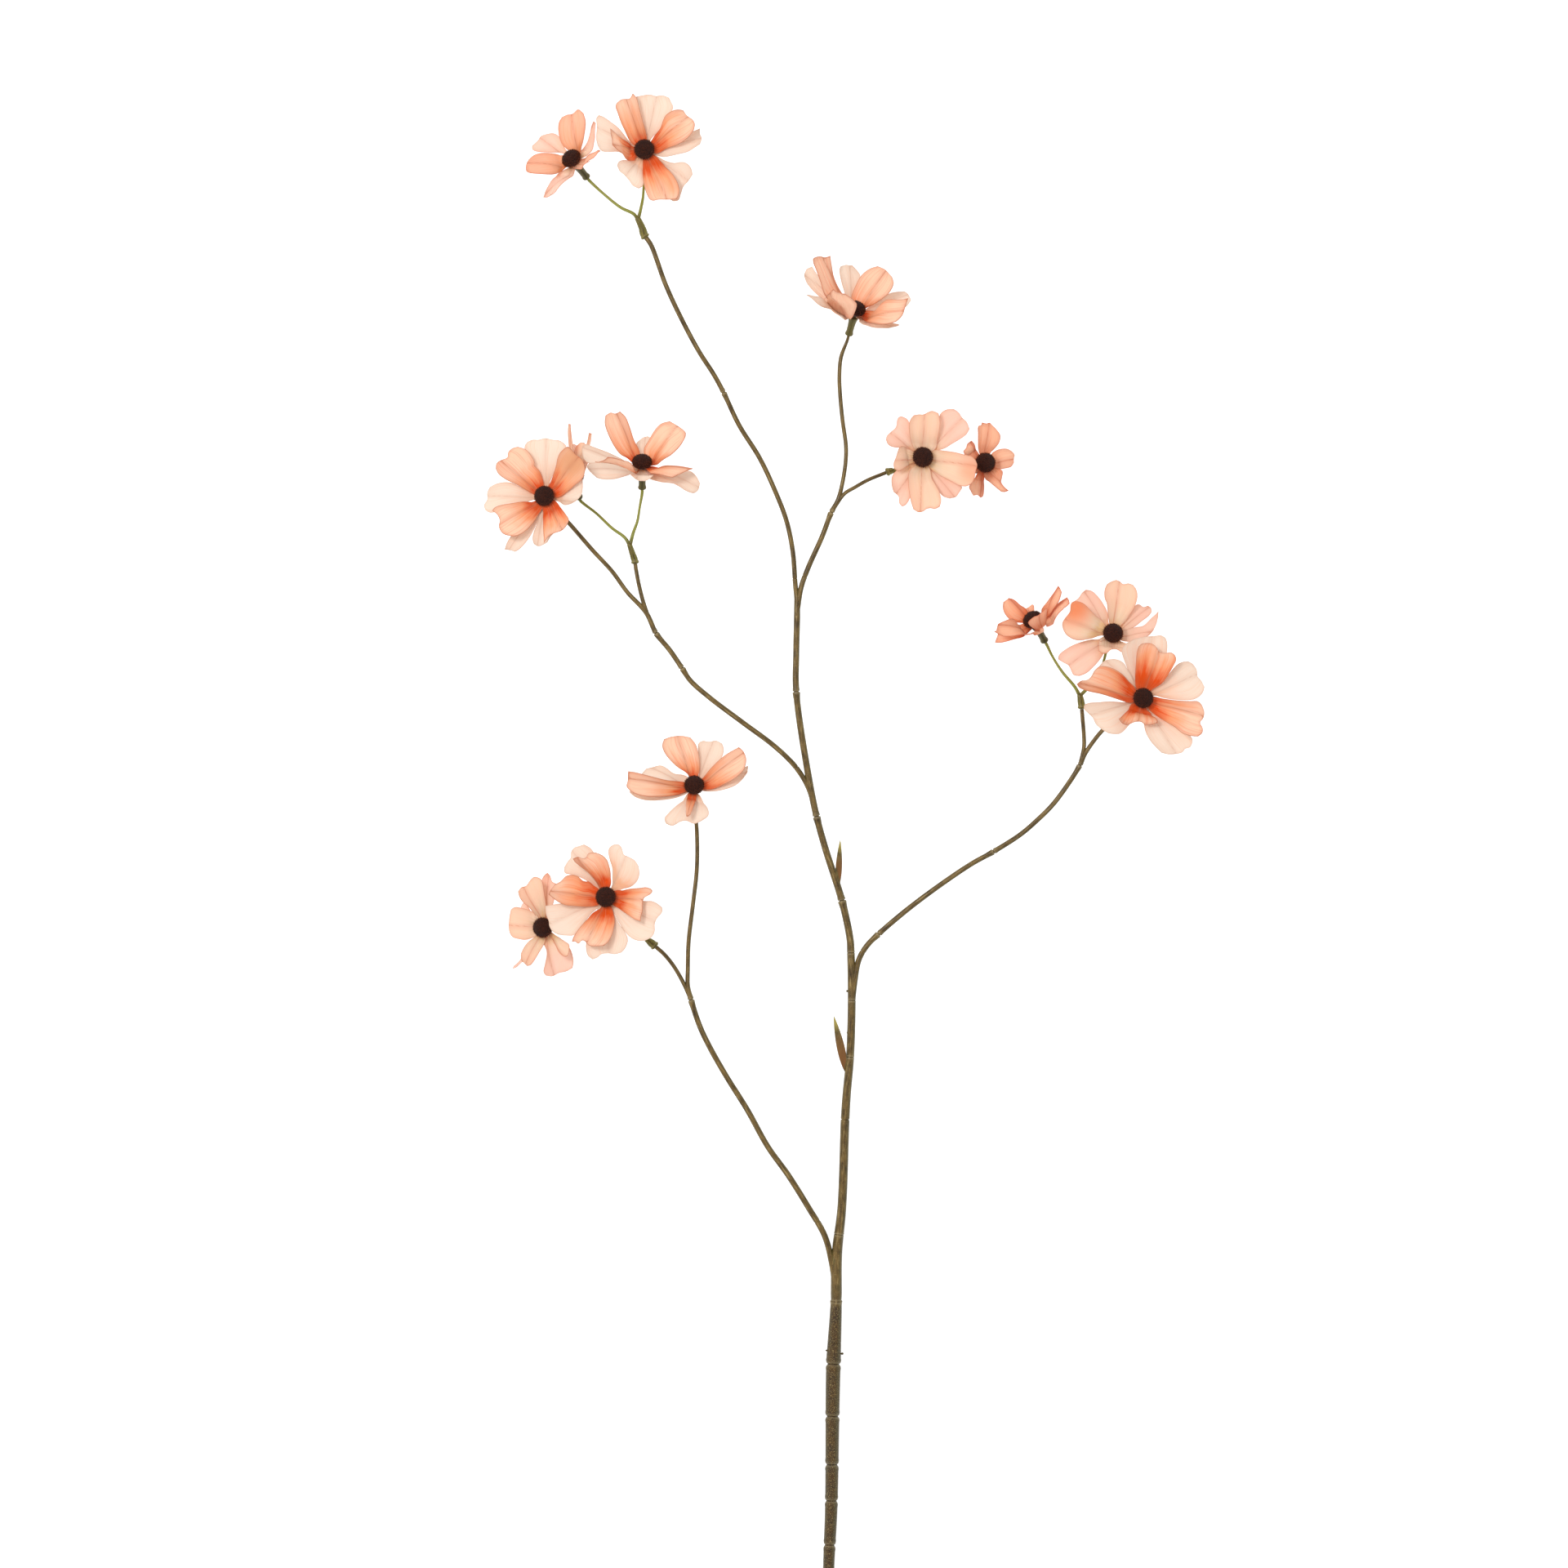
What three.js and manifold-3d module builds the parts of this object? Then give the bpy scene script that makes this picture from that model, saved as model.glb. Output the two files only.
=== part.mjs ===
// Artificial cosmos spray, lying on a table with its blossoms looking up.
// Millimetres, +Z up. X runs to the right and Y runs from the cut end of the stem to the top blossoms.
// Places on the table are given as pixels of the 1920 pixel photograph, and heights in millimetres.

import * as THREE from 'three';
import { mergeVertices } from 'three/addons/utils/BufferGeometryUtils.js';
import Module from 'manifold-3d';

const wasm = await Module();
wasm.setup();

// Scale and origin: the widest blossom is 155 pixels across and such a blossom measures 62 mm.
const MM_PER_PX = 62 / 155;
const ORIGIN_PX = { x: 1034.5, y: 1067.5 };

// Clearances between pieces that touch or plug together.
const GAP = 0.3;

// Blossom sizes, as heights along the blossom's own axis from the underside of its back ring.
const RING_RADIUS = 2.7;
const RING_THICK = 0.9;
const FRONT_RING_BASE = RING_THICK + GAP;
const CENTRE_BASE = FRONT_RING_BASE + RING_THICK + GAP;
const DISC_MIDDLE = 4.4;
const CENTRE_RADIUS = 5.2;
const CENTRE_DOME = 3.4;
const CENTRE_SIDES = 10;
// The outline of the centre, as shares of its radius and of its dome.
const CENTRE_OUTLINE = [[0, 0], [0.85, 0], [1, 0.4], [0.72, 0.9], [0, 1]];
const PIN_RADIUS = 0.8;
const PIN_TOP = CENTRE_BASE + 1.6;
const RING_SIDES = 6;
const PIN_SIDES = 5;

// Petals: thickness, where the root starts, and how much each layer cups.
const PETAL_THICK = 0.65;
const PETAL_ROOT = 1.7;
const ROOT_SINK = 0.135;
const PETAL_ARCH = 1.3;
const PETAL_CHANNEL = 0.2;
const LEVEL_SHARE = 0.17;

// The two layers: base height, cup in degrees, and how far from the axis the petals run level
// before they climb, clear of the centre.
const BACK_LAYER = { base: 0, cup: 4, levelReach: 7.7 };
const FRONT_LAYER = { base: FRONT_RING_BASE, cup: 18, levelReach: 6.7 };

// Calyx sleeve under each blossom, and the tenon and socket that plug stalks together.
const CALYX_LENGTH = 10.5;
const CALYX_MOUTH_RADIUS = 2.5;
const CALYX_RADIUS = 1.8;
const CALYX_FLARE = 3.2;
const TENON_LENGTH = 3;
const TWIG_TENON_RADIUS = 0.75;
const SLEEVE_STRAIGHT = 1.4;

// Stems.
const STEM_SIDES = 7;
const BASE_SIDES = 10;
const CALYX_SIDES = 6;
const PEDICEL_SIDES = 5;
const RING_STEP = 17;
const SEED_RADIUS = 0.1;
const COLLAR_SWELL = 1.22;
const COLLAR_HALF = 1;
const COLLAR_FADE = 2;
const GROOVE_WAIST = 0.84;
const GROOVE_HALF = 1.2;
const DETAIL_MARGIN = 3;
const WIRE_RADIUS = 1.2;
const WIRE_SIDES = 8;
const WIRE_BORE_OVERRUN = 2;
const WIRE_BORE_SPARE = 1;
const MAIN_TENON_RADIUS = 1.9;
const UPPER_TENON_RADIUS = 1.3;
const BRANCH_TENON_RADIUS = 0.8;
const PLUG_OVERRUN = 0.8;
const TWIG_APPROACH = 3;
const PEDICEL_APPROACH = 2.2;
const BRACT_THICK = 0.8;
const BRACT_FOLD = 0.3;

const rad = THREE.MathUtils.degToRad;

function spot(px, py, z) {
  return new THREE.Vector3((px - ORIGIN_PX.x) * MM_PER_PX, (ORIGIN_PX.y - py) * MM_PER_PX, z);
}

// Blossoms. disc: the middle of the brown disc in the photograph; height: of that point over the table;
// facing and tilt: which way, and how far from straight up, the blossom looks.
// Each petal: direction in degrees anticlockwise from the photograph's right, length and width in pixels,
// and, where the petal doesn't follow its layer's cup, the height of its tip over the disc in millimetres
// and its roll about its own length in degrees.
const BLOSSOMS = [
  {
    name: '01', disc: [699, 193], height: 20, facing: 130, tilt: 52, kind: 'cream',
    front: [[89, 59, 34, -5], [187, 55, 34, -1], [14, 38, 26, 15]],
    back: [[145, 49, 40, -20.5], [57, 53, 22, -8], [237, 58, 26, 16]],
  },
  {
    name: '02', disc: [789, 183], height: 27, facing: 100, tilt: 12, kind: 'orange',
    front: [[110, 66, 34], [36, 70, 32], [-66, 69, 42], [172, 41, 32, 9]],
    back: [[77, 70, 48], [11, 73, 42], [-36, 69, 44], [-125, 49, 42], [155, 67, 42]],
  },
  {
    name: '03', disc: [1048, 377], height: 18, facing: 75, tilt: 60, kind: 'orange',
    front: [[124, 77, 34, -4], [52, 61, 44, -10], [-5, 58, 38, 10, -16], [162, 26, 40, 22.5]],
    back: [[146, 74, 34, -2], [98, 56, 36, -18.5], [15, 69, 34, -13], [181, 42, 42, 19], [-29, 48, 42, 11]],
  },
  {
    name: '04', disc: [1130, 560], height: 30, facing: 60, tilt: 10, kind: 'cream',
    front: [[88, 57, 40], [-10, 69, 42], [-93, 69, 40], [188, 41, 34, 8]],
    back: [[45, 69, 48], [143, 56, 42], [-52, 62, 42], [-126, 61, 44]],
  },
  {
    name: '05', disc: [1207, 566], height: 20, facing: 40, tilt: 20, kind: 'salmon',
    front: [[85, 50, 22], [-52, 47, 26], [190, 34, 24]],
    back: [[7, 38, 34], [-100, 43, 26], [128, 31, 28]],
  },
  {
    name: '06', disc: [667, 608], height: 39, facing: 135, tilt: 15, kind: 'orange',
    front: [[141, 71, 52], [48, 70, 40], [213, 65, 44], [-62, 44, 36, 11]],
    back: [[88, 73, 54], [180, 74, 42], [237, 78, 44], [-97, 64, 42], [-12, 51, 44]],
  },
  {
    name: '07', disc: [786, 565], height: 21, facing: 90, tilt: 60, kind: 'orange',
    front: [[118, 73, 38, -13], [46, 64, 42, -5], [-8, 63, 36, 9.5, -12], [182, 58, 32, 21.5]],
    back: [
      [167, 75, 36, -1], [189, 68, 36, 9], [-25, 80, 38, 5, -24], [83, 34, 34, -21.5], [-105, 20, 32, 19],
    ],
  },
  {
    name: '08', disc: [702, 582], height: 13, facing: 92, tilt: 60, kind: 'cream',
    front: [[68, 56, 16, 0, 45], [94, 63, 16, 1, -45], [84, 42, 22, -3]],
    back: [[70, 40, 20, -10.5], [102, 40, 20, -10.5], [84, 42, 24, -11]],
  },
  {
    name: '09', disc: [1265, 758], height: 14, facing: 120, tilt: 55, kind: 'salmon',
    front: [[138, 38, 34, -9], [190, 43, 28, 6], [40, 10, 30, 17], [52, 52, 24, 4, 20]],
    back: [[204, 49, 30, 4, -20], [262, 22, 32, 13], [30, 48, 30, 2], [110, 32, 28, -14.5]],
  },
  {
    name: '10', disc: [1363, 775], height: 25, facing: 70, tilt: 25, kind: 'cream',
    front: [[83, 64, 42], [165, 62, 42], [-95, 22, 34, 7]],
    back: [[125, 60, 44], [216, 72, 46], [35, 57, 38], [-30, 46, 38, -2]],
  },
  {
    name: '11', disc: [1399, 855], height: 39, facing: 45, tilt: 15, kind: 'orange',
    front: [[72, 65, 47], [167, 80, 42], [-17, 77, 44], [-103, 36, 36, 12]],
    back: [[24, 77, 48], [-60, 79, 48], [198, 74, 44], [135, 61, 44], [83, 76, 48]],
  },
  {
    name: '12', disc: [850, 961], height: 25, facing: 90, tilt: 30, kind: 'orange',
    front: [[110, 66, 46], [175, 82, 34], [32, 71, 34], [258, 38, 16, 15]],
    back: [[66, 62, 48], [159, 61, 36], [13, 70, 34], [186, 74, 28], [261, 50, 54]],
  },
  {
    name: '13', disc: [742, 1098], height: 34, facing: 150, tilt: 10, kind: 'orange',
    front: [[126, 63, 40], [174, 71, 42], [-4, 60, 36], [-112, 66, 44]],
    back: [[126, 78, 46], [63, 70, 44], [-27, 79, 50], [-86, 75, 42], [206, 72, 46]],
  },
  {
    name: '14', disc: [664, 1136], height: 20, facing: 190, tilt: 20, kind: 'cream',
    front: [[115, 64, 40], [245, 54, 36, -8], [-55, 48, 32], [176, 45, 36, -10.5]],
    back: [[83, 67, 30], [-76, 62, 42, -8], [231, 63, 18, -20.5], [145, 48, 36, -14], [15, 42, 36]],
  },
];

// Petal outline from root to tip: each row lists points as share of the length and of the half width.
const PETAL_ROWS = [
  [[0, -0.1], [0, 0.1]],
  [[0.17, -0.36], [0.17, 0.36]],
  [[0.46, -0.82], [0.46, 0.82]],
  [[0.74, -1], [0.78, 0], [0.74, 1]],
  [[0.92, -0.74], [1, -0.42], [0.95, 0], [0.99, 0.42], [0.91, 0.76]],
];

// Small pointed bract leaf, in the same form.
const BRACT_ROWS = [
  [[0, -0.4], [0, 0.4]],
  [[0.3, -0.9], [0.3, 0], [0.3, 0.9]],
  [[0.65, -0.8], [0.65, 0], [0.65, 0.8]],
  [[1, -0.12], [1, 0.12]],
];

// Colour and finish of each material.
const FABRIC_ROUGHNESS = 0.8;
const MATERIALS = {
  wire: { color: 0x8c8c8a, roughness: 0.4, metalness: 0.9 },
  stem: { color: 0x6e5b38, roughness: 0.6 },
  pedicel: { color: 0x8f8f4a, roughness: 0.55 },
  calyx: { color: 0x5b5630, roughness: 0.6 },
  centre: { color: 0x35160f, roughness: 1 },
  orangeFront: { color: 0xf08a5a, roughness: FABRIC_ROUGHNESS },
  orangeBack: { color: 0xf7d6bf, roughness: FABRIC_ROUGHNESS },
  creamFront: { color: 0xf6c3a0, roughness: FABRIC_ROUGHNESS },
  creamBack: { color: 0xf5cdb4, roughness: FABRIC_ROUGHNESS },
  salmonFront: { color: 0xee8a68, roughness: FABRIC_ROUGHNESS },
  salmonBack: { color: 0xf2a184, roughness: FABRIC_ROUGHNESS },
};

const group = new THREE.Group();

function addPiece(name, solid, material) {
  const mesh = new THREE.Mesh(geometryOf(solid), new THREE.MeshStandardMaterial(MATERIALS[material]));
  mesh.name = name;
  group.add(mesh);
}

// Solids and meshes.
function solidOf(geometry) {
  const bare = geometry.clone();
  bare.deleteAttribute('normal');
  bare.deleteAttribute('uv');
  const merged = mergeVertices(bare);
  const triVerts = new Uint32Array(merged.index.array);
  const vertProperties = new Float32Array(merged.attributes.position.array);
  return new wasm.Manifold(new wasm.Mesh({ numProp: 3, vertProperties, triVerts }));
}

function geometryOf(solid) {
  const mesh = solid.getMesh();
  const geometry = new THREE.BufferGeometry();
  geometry.setAttribute('position', new THREE.BufferAttribute(mesh.vertProperties, 3));
  geometry.setIndex(new THREE.BufferAttribute(mesh.triVerts, 1));
  geometry.computeVertexNormals();
  return geometry;
}

function join(solids) {
  return solids.reduce((whole, next) => whole.add(next));
}

// A straight round rod from one point to another.
function rod(from, to, radius, sides) {
  const run = to.clone().sub(from);
  const geometry = new THREE.CylinderGeometry(radius, radius, run.length(), sides);
  geometry.applyQuaternion(new THREE.Quaternion().setFromUnitVectors(
    new THREE.Vector3(0, 1, 0),
    run.clone().normalize(),
  ));
  const middle = from.clone().lerp(to, 0.5);
  geometry.translate(middle.x, middle.y, middle.z);
  return solidOf(geometry);
}

// A turned solid on a blossom's axis, from a profile of [radius, height along the axis], lowest first.
function turned(blossom, profile, sides) {
  const outline = profile.map(([radius, height]) => new THREE.Vector2(radius, height));
  const geometry = new THREE.LatheGeometry(outline, sides);
  geometry.applyQuaternion(new THREE.Quaternion().setFromUnitVectors(
    new THREE.Vector3(0, 1, 0),
    blossom.axis,
  ));
  geometry.translate(blossom.seat.x, blossom.seat.y, blossom.seat.z);
  return solidOf(geometry);
}

// A route is the centre line of a stem: rows of [pixel x, pixel y, height in mm, width in pixels].
const STEPS_BETWEEN_POINTS = 24;
const NEAREST_SAMPLES = 600;

class Route {
  constructor(rows, lastPoints = [], firstPoints = []) {
    const points = [...firstPoints, ...rows.map(([px, py, z]) => spot(px, py, z)), ...lastPoints];
    const widths = rows.map((row) => row[3]);
    firstPoints.forEach(() => widths.unshift(widths[0]));
    lastPoints.forEach(() => widths.push(2 * TWIG_TENON_RADIUS / MM_PER_PX));
    this.curve = new THREE.CatmullRomCurve3(points, false, 'centripetal');
    this.curve.arcLengthDivisions = (points.length - 1) * STEPS_BETWEEN_POINTS;
    const lengths = this.curve.getLengths();
    this.marks = widths.map((width, i) => ({
      at: lengths[i * STEPS_BETWEEN_POINTS],
      radius: width * MM_PER_PX / 2,
    }));
    this.length = lengths[lengths.length - 1];
  }

  point(at) {
    return this.curve.getPointAt(THREE.MathUtils.clamp(at / this.length, 0, 1));
  }

  tangent(at) {
    return this.curve.getTangentAt(THREE.MathUtils.clamp(at / this.length, 0, 1));
  }

  radius(at) {
    const next = this.marks.findIndex((mark) => mark.at >= at);
    if (next <= 0) {
      return next === 0 ? this.marks[0].radius : this.marks[this.marks.length - 1].radius;
    }
    const [low, high] = [this.marks[next - 1], this.marks[next]];
    return THREE.MathUtils.mapLinear(at, low.at, high.at, low.radius, high.radius);
  }

  // The distance along the route that passes nearest a pixel of the photograph.
  nearest([px, py]) {
    const target = spot(px, py, 0);
    let best = 0;
    let bestDistance = Infinity;
    for (let i = 0; i <= NEAREST_SAMPLES; i += 1) {
      const at = this.length * i / NEAREST_SAMPLES;
      const point = this.point(at);
      const distance = Math.hypot(point.x - target.x, point.y - target.y);
      if (distance < bestDistance) {
        best = at;
        bestDistance = distance;
      }
    }
    return best;
  }
}

// The same route with its steps placed on chosen stations.
class StationCurve extends THREE.Curve {
  constructor(route, stations) {
    super();
    this.route = route;
    this.stations = stations;
  }

  getPoint(t) {
    const steps = this.stations.length - 1;
    const index = Math.min(Math.floor(t * steps), steps - 1);
    const at = THREE.MathUtils.lerp(this.stations[index].at, this.stations[index + 1].at, t * steps - index);
    return this.route.point(at);
  }

  getUtoTmapping(u) {
    return u;
  }
}

// A tapering tube along part of a route, with swollen collars and ring grooves at its joints.
function tube(route, from, to, { collars = [], grooves = [], sides = STEM_SIDES, tenon = 0 } = {}) {
  const details = tenon > 0 ? [{ at: to - tenon, swell: 1 }] : [];
  const inside = (at) => at > from + DETAIL_MARGIN && at < to - DETAIL_MARGIN;
  collars.map((pixel) => route.nearest(pixel)).filter(inside).forEach((at) => {
    details.push({ at: at - COLLAR_FADE, swell: 1 }, { at: at - COLLAR_HALF, swell: COLLAR_SWELL });
    details.push({ at: at + COLLAR_HALF, swell: COLLAR_SWELL }, { at: at + COLLAR_FADE, swell: 1 });
  });
  grooves.map((pixel) => route.nearest(pixel)).filter(inside).forEach((at) => {
    details.push({ at: at - GROOVE_HALF, swell: 1 }, { at: at + GROOVE_HALF, swell: 1 });
    details.push({ at, swell: GROOVE_WAIST });
  });
  const count = Math.max(1, Math.round((to - from) / RING_STEP));
  const stations = [{ at: from, swell: 1 }, { at: to, swell: 1 }, ...details];
  for (let i = 1; i < count; i += 1) {
    const at = THREE.MathUtils.lerp(from, to, i / count);
    if (details.every((detail) => Math.abs(detail.at - at) > DETAIL_MARGIN)) {
      stations.push({ at, swell: 1 });
    }
  }
  stations.sort((a, b) => a.at - b.at);

  const section = new THREE.Shape();
  for (let i = 0; i < sides; i += 1) {
    const angle = 2 * Math.PI * (i + 0.5) / sides;
    const corner = [SEED_RADIUS * Math.cos(angle), SEED_RADIUS * Math.sin(angle)];
    if (i === 0) {
      section.moveTo(...corner);
    } else {
      section.lineTo(...corner);
    }
  }
  const geometry = new THREE.ExtrudeGeometry(section, {
    steps: stations.length - 1,
    extrudePath: new StationCurve(route, stations),
  });
  const centres = stations.map((station) => route.point(station.at));
  const radii = stations.map((station) => route.radius(station.at) * station.swell);
  const position = geometry.attributes.position;
  const vertex = new THREE.Vector3();
  for (let i = 0; i < position.count; i += 1) {
    vertex.fromBufferAttribute(position, i);
    const distances = centres.map((centre) => centre.distanceTo(vertex));
    const ring = distances.indexOf(Math.min(...distances));
    vertex.sub(centres[ring]).multiplyScalar(radii[ring] / SEED_RADIUS).add(centres[ring]);
    position.setXYZ(i, vertex.x, vertex.y, vertex.z);
  }
  return solidOf(geometry);
}

// A slim plug on a shoulder. With a clearance it is the socket that the plug fits.
function plug(shoulder, direction, radius, clearance = 0) {
  return rod(
    shoulder.clone().addScaledVector(direction, -PLUG_OVERRUN),
    shoulder.clone().addScaledVector(direction, TENON_LENGTH + clearance),
    radius + clearance,
    PIN_SIDES,
  );
}

// The plug by which an upper piece stands in the piece below it, at one place on a route.
function rootPlug(route, at, radius, clearance) {
  const direction = route.tangent(at).negate();
  return plug(route.point(at + GAP), direction, radius, clearance);
}

// The plug at the tip of a twig, which goes into a pedicel's socket sleeve.
function tipPlug(route, clearance) {
  return plug(route.point(route.length), route.tangent(route.length), TWIG_TENON_RADIUS, clearance);
}

// A thin blade from rows of points on its lower face and each row's thickness, with the same triangles
// on both faces. Where it would go under the table it is lifted.
function blade(rows, thicknesses) {
  const points = [];
  const upper = [];
  const rowStarts = rows.map((row, r) => {
    const start = points.length;
    points.push(...row);
    upper.push(...row.map((point) => point.clone().add(thicknesses[r])));
    return start;
  });
  const faces = [];
  for (let r = 0; r + 1 < rows.length; r += 1) {
    const [near, far] = [rows[r].length, rows[r + 1].length];
    const [nearStart, farStart] = [rowStarts[r], rowStarts[r + 1]];
    let [i, j] = [0, 0];
    while (i < near - 1 || j < far - 1) {
      const stepFar = (j + 1) / (far - 1) < (i + 1) / (near - 1) || i === near - 1;
      if (stepFar) {
        faces.push([nearStart + i, farStart + j + 1, farStart + j]);
        j += 1;
      } else {
        faces.push([nearStart + i, nearStart + i + 1, farStart + j]);
        i += 1;
      }
    }
  }
  const count = points.length;
  const rim = [];
  const lastRow = rows.length - 1;
  rows[0].forEach((point, i) => rim.push(i));
  for (let r = 1; r < lastRow; r += 1) {
    rim.push(rowStarts[r] + rows[r].length - 1);
  }
  rows[lastRow].forEach((point, i) => rim.push(rowStarts[lastRow] + rows[lastRow].length - 1 - i));
  for (let r = lastRow - 1; r > 0; r -= 1) {
    rim.push(rowStarts[r]);
  }
  const index = [];
  faces.forEach(([a, b, c]) => {
    index.push(a + count, b + count, c + count);
    index.push(a, c, b);
  });
  rim.forEach((a, i) => {
    const b = rim[(i + 1) % rim.length];
    index.push(a, b, b + count, a, b + count, a + count);
  });
  const lifts = points.map((point, i) => Math.max(0, -Math.min(point.z, upper[i].z)));
  const all = points.concat(upper);
  const geometry = new THREE.BufferGeometry();
  const coordinates = all.flatMap((point, i) => [point.x, point.y, point.z + lifts[i % count]]);
  geometry.setAttribute('position', new THREE.Float32BufferAttribute(coordinates, 3));
  geometry.setIndex(index);
  return solidOf(geometry);
}

// Each blossom's axis, the middle of its disc, and its seat: the underside of the back ring.
BLOSSOMS.forEach((blossom) => {
  const [facing, tilt] = [rad(blossom.facing), rad(blossom.tilt)];
  blossom.axis = new THREE.Vector3(
    Math.sin(tilt) * Math.cos(facing),
    Math.sin(tilt) * Math.sin(facing),
    Math.cos(tilt),
  );
  blossom.middle = spot(...blossom.disc, blossom.height);
  blossom.seat = blossom.middle.clone().addScaledVector(blossom.axis, -DISC_MIDDLE);
});

// The height of a petal's tip over the disc, where the petal follows its layer's cup.
function tipRise(blossom, direction, length, cup) {
  const slope = Math.tan(rad(cup)) - Math.tan(rad(blossom.tilt)) * Math.cos(rad(direction - blossom.facing));
  return length * slope - DISC_MIDDLE + FRONT_RING_BASE;
}

function petal(blossom, layer, [direction, lengthPx, widthPx, rise, roll = 0]) {
  const length = lengthPx * MM_PER_PX;
  const halfWidth = widthPx * MM_PER_PX / 2;
  const tip = blossom.middle.clone().add(new THREE.Vector3(
    length * Math.cos(rad(direction)),
    length * Math.sin(rad(direction)),
    rise ?? tipRise(blossom, direction, length, layer.cup),
  ));
  const root = blossom.seat.clone().addScaledVector(blossom.axis, layer.base + ROOT_SINK);
  const reach = tip.clone().sub(root);
  const climb = reach.dot(blossom.axis);
  const outward = reach.clone().addScaledVector(blossom.axis, -climb);
  const radial = outward.clone().normalize();
  const freeRun = Math.max(0, outward.length() - layer.levelReach);
  const slope = radial.clone().multiplyScalar(freeRun).addScaledVector(blossom.axis, climb).normalize();
  const level = new THREE.Vector3().crossVectors(radial, blossom.axis);
  const sideways = level.applyAxisAngle(slope, rad(roll));
  const slopeNormal = new THREE.Vector3().crossVectors(sideways, slope);
  const rootNormal = new THREE.Vector3().crossVectors(sideways, radial).normalize();
  const bendNormal = rootNormal.clone().add(slopeNormal).normalize();
  const thicknesses = PETAL_ROWS.map((row, r) => {
    const normal = [rootNormal, bendNormal][r] ?? slopeNormal;
    return normal.clone().multiplyScalar(PETAL_THICK / (r === 1 ? bendNormal.dot(slopeNormal) : 1));
  });
  const rows = PETAL_ROWS.map((row) => row.map(([along, across]) => {
    const levelShare = Math.min(1, along / LEVEL_SHARE);
    const climbShare = Math.max(0, (along - LEVEL_SHARE) / (1 - LEVEL_SHARE));
    return root.clone()
      .addScaledVector(radial, THREE.MathUtils.lerp(PETAL_ROOT, layer.levelReach, levelShare))
      .addScaledVector(radial, freeRun * climbShare)
      .addScaledVector(blossom.axis, climb * climbShare)
      .addScaledVector(sideways, halfWidth * across)
      .addScaledVector(slopeNormal, PETAL_ARCH * Math.sin(Math.PI * climbShare))
      .addScaledVector(slopeNormal, PETAL_CHANNEL * halfWidth * across * across * climbShare);
  }));
  return blade(rows, thicknesses);
}

// One die-cut layer: its petals fused to a ring that the calyx pin passes through.
function petalRing(blossom, layer, petals) {
  const ring = turned(blossom, [
    [0, layer.base],
    [RING_RADIUS, layer.base],
    [RING_RADIUS, layer.base + RING_THICK],
    [0, layer.base + RING_THICK],
  ], RING_SIDES);
  const hole = pin(blossom, layer.base - 1, layer.base + RING_THICK + 1, PIN_RADIUS + GAP);
  return join([ring, ...petals.map((row) => petal(blossom, layer, row))]).subtract(hole);
}

function pin(blossom, from, to, radius) {
  return turned(blossom, [[0, from], [radius, from], [radius, to], [0, to]], PIN_SIDES);
}

// The flocked centre: a domed button with a blind socket for the pin.
function centre(blossom) {
  const profile = CENTRE_OUTLINE.map(([out, up]) => [CENTRE_RADIUS * out, CENTRE_BASE + CENTRE_DOME * up]);
  const socketHole = pin(blossom, CENTRE_BASE - 1, PIN_TOP + GAP, PIN_RADIUS + GAP);
  return turned(blossom, profile, CENTRE_SIDES).subtract(socketHole);
}

// The calyx: a cup that narrows to a sleeve, with the pin that carries the rings and the centre.
function calyx(blossom) {
  const top = -GAP;
  const foot = top - CALYX_LENGTH;
  const cup = turned(blossom, [
    [0, foot],
    [CALYX_RADIUS, foot],
    [CALYX_RADIUS, top - CALYX_FLARE],
    [CALYX_MOUTH_RADIUS, top],
    [0, top],
  ], CALYX_SIDES);
  return cup.add(pin(blossom, top - 1, PIN_TOP, PIN_RADIUS));
}

const blossomNamed = (name) => BLOSSOMS.find((one) => one.name === name);

// The last points of a stalk that runs up a blossom's axis into its calyx.
function footPoints(name, approach = TWIG_APPROACH) {
  const blossom = blossomNamed(name);
  const foot = -GAP - CALYX_LENGTH;
  return [foot - approach, foot - GAP, foot + TENON_LENGTH].map((height) => (
    blossom.seat.clone().addScaledVector(blossom.axis, height)
  ));
}

// Centre lines of the stems.
const mainRoute = new Route([
  [1013, 2020, 2.65, 14], [1015, 1920, 2.65, 14], [1018, 1850, 2.9, 15.5], [1020, 1700, 3.41, 17.8],
  [1021, 1665, 3.5, 18], [1024, 1600, 4.6, 14], [1025, 1537, 6.5, 13], [1031, 1480, 8.3, 11],
  [1035, 1372, 11.5, 11], [1037, 1340, 12.3, 10.5], [1041, 1295, 13.2, 10], [1043, 1230, 14.3, 10],
  [1042, 1167, 15, 9.5], [1041, 1150, 15.2, 9], [1031, 1103, 15.6, 9], [1011, 1040, 16, 8.5],
  [1000, 1000, 16.1, 8.3], [990, 950, 16.2, 8.3], [975, 847, 16, 8], [975, 800, 15.7, 7.7],
  [976, 753, 15.4, 8], [976, 730, 15.2, 7],
]);
const branchARoute = new Route([
  [1024, 1590, 4.8, 7], [1019, 1550, 6.3, 7.5], [1010, 1515, 7.5, 7.5], [990, 1480, 8.6, 7.5],
  [965, 1440, 9.6, 7.5], [940, 1405, 10.4, 7.2], [915, 1360, 11.2, 7.2], [890, 1320, 11.8, 7],
  [870, 1285, 12.2, 7], [857, 1258, 12.4, 7], [846, 1225, 12.5, 7], [842, 1208, 12.5, 5.6],
  [842, 1187, 12.4, 5.3], [843, 1153, 12.2, 5.3], [848, 1110, 11.6, 5.3], [853, 1064, 10.6, 5.2],
  [853, 1018, 10, 5],
], footPoints('12'));
const twigARoute = new Route([
  [846, 1225, 12.5, 5.5], [838, 1207, 12.4, 5.2], [825, 1184, 12, 5], [813, 1169, 11.8, 5],
  [803, 1160, 11.7, 5],
]);
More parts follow.
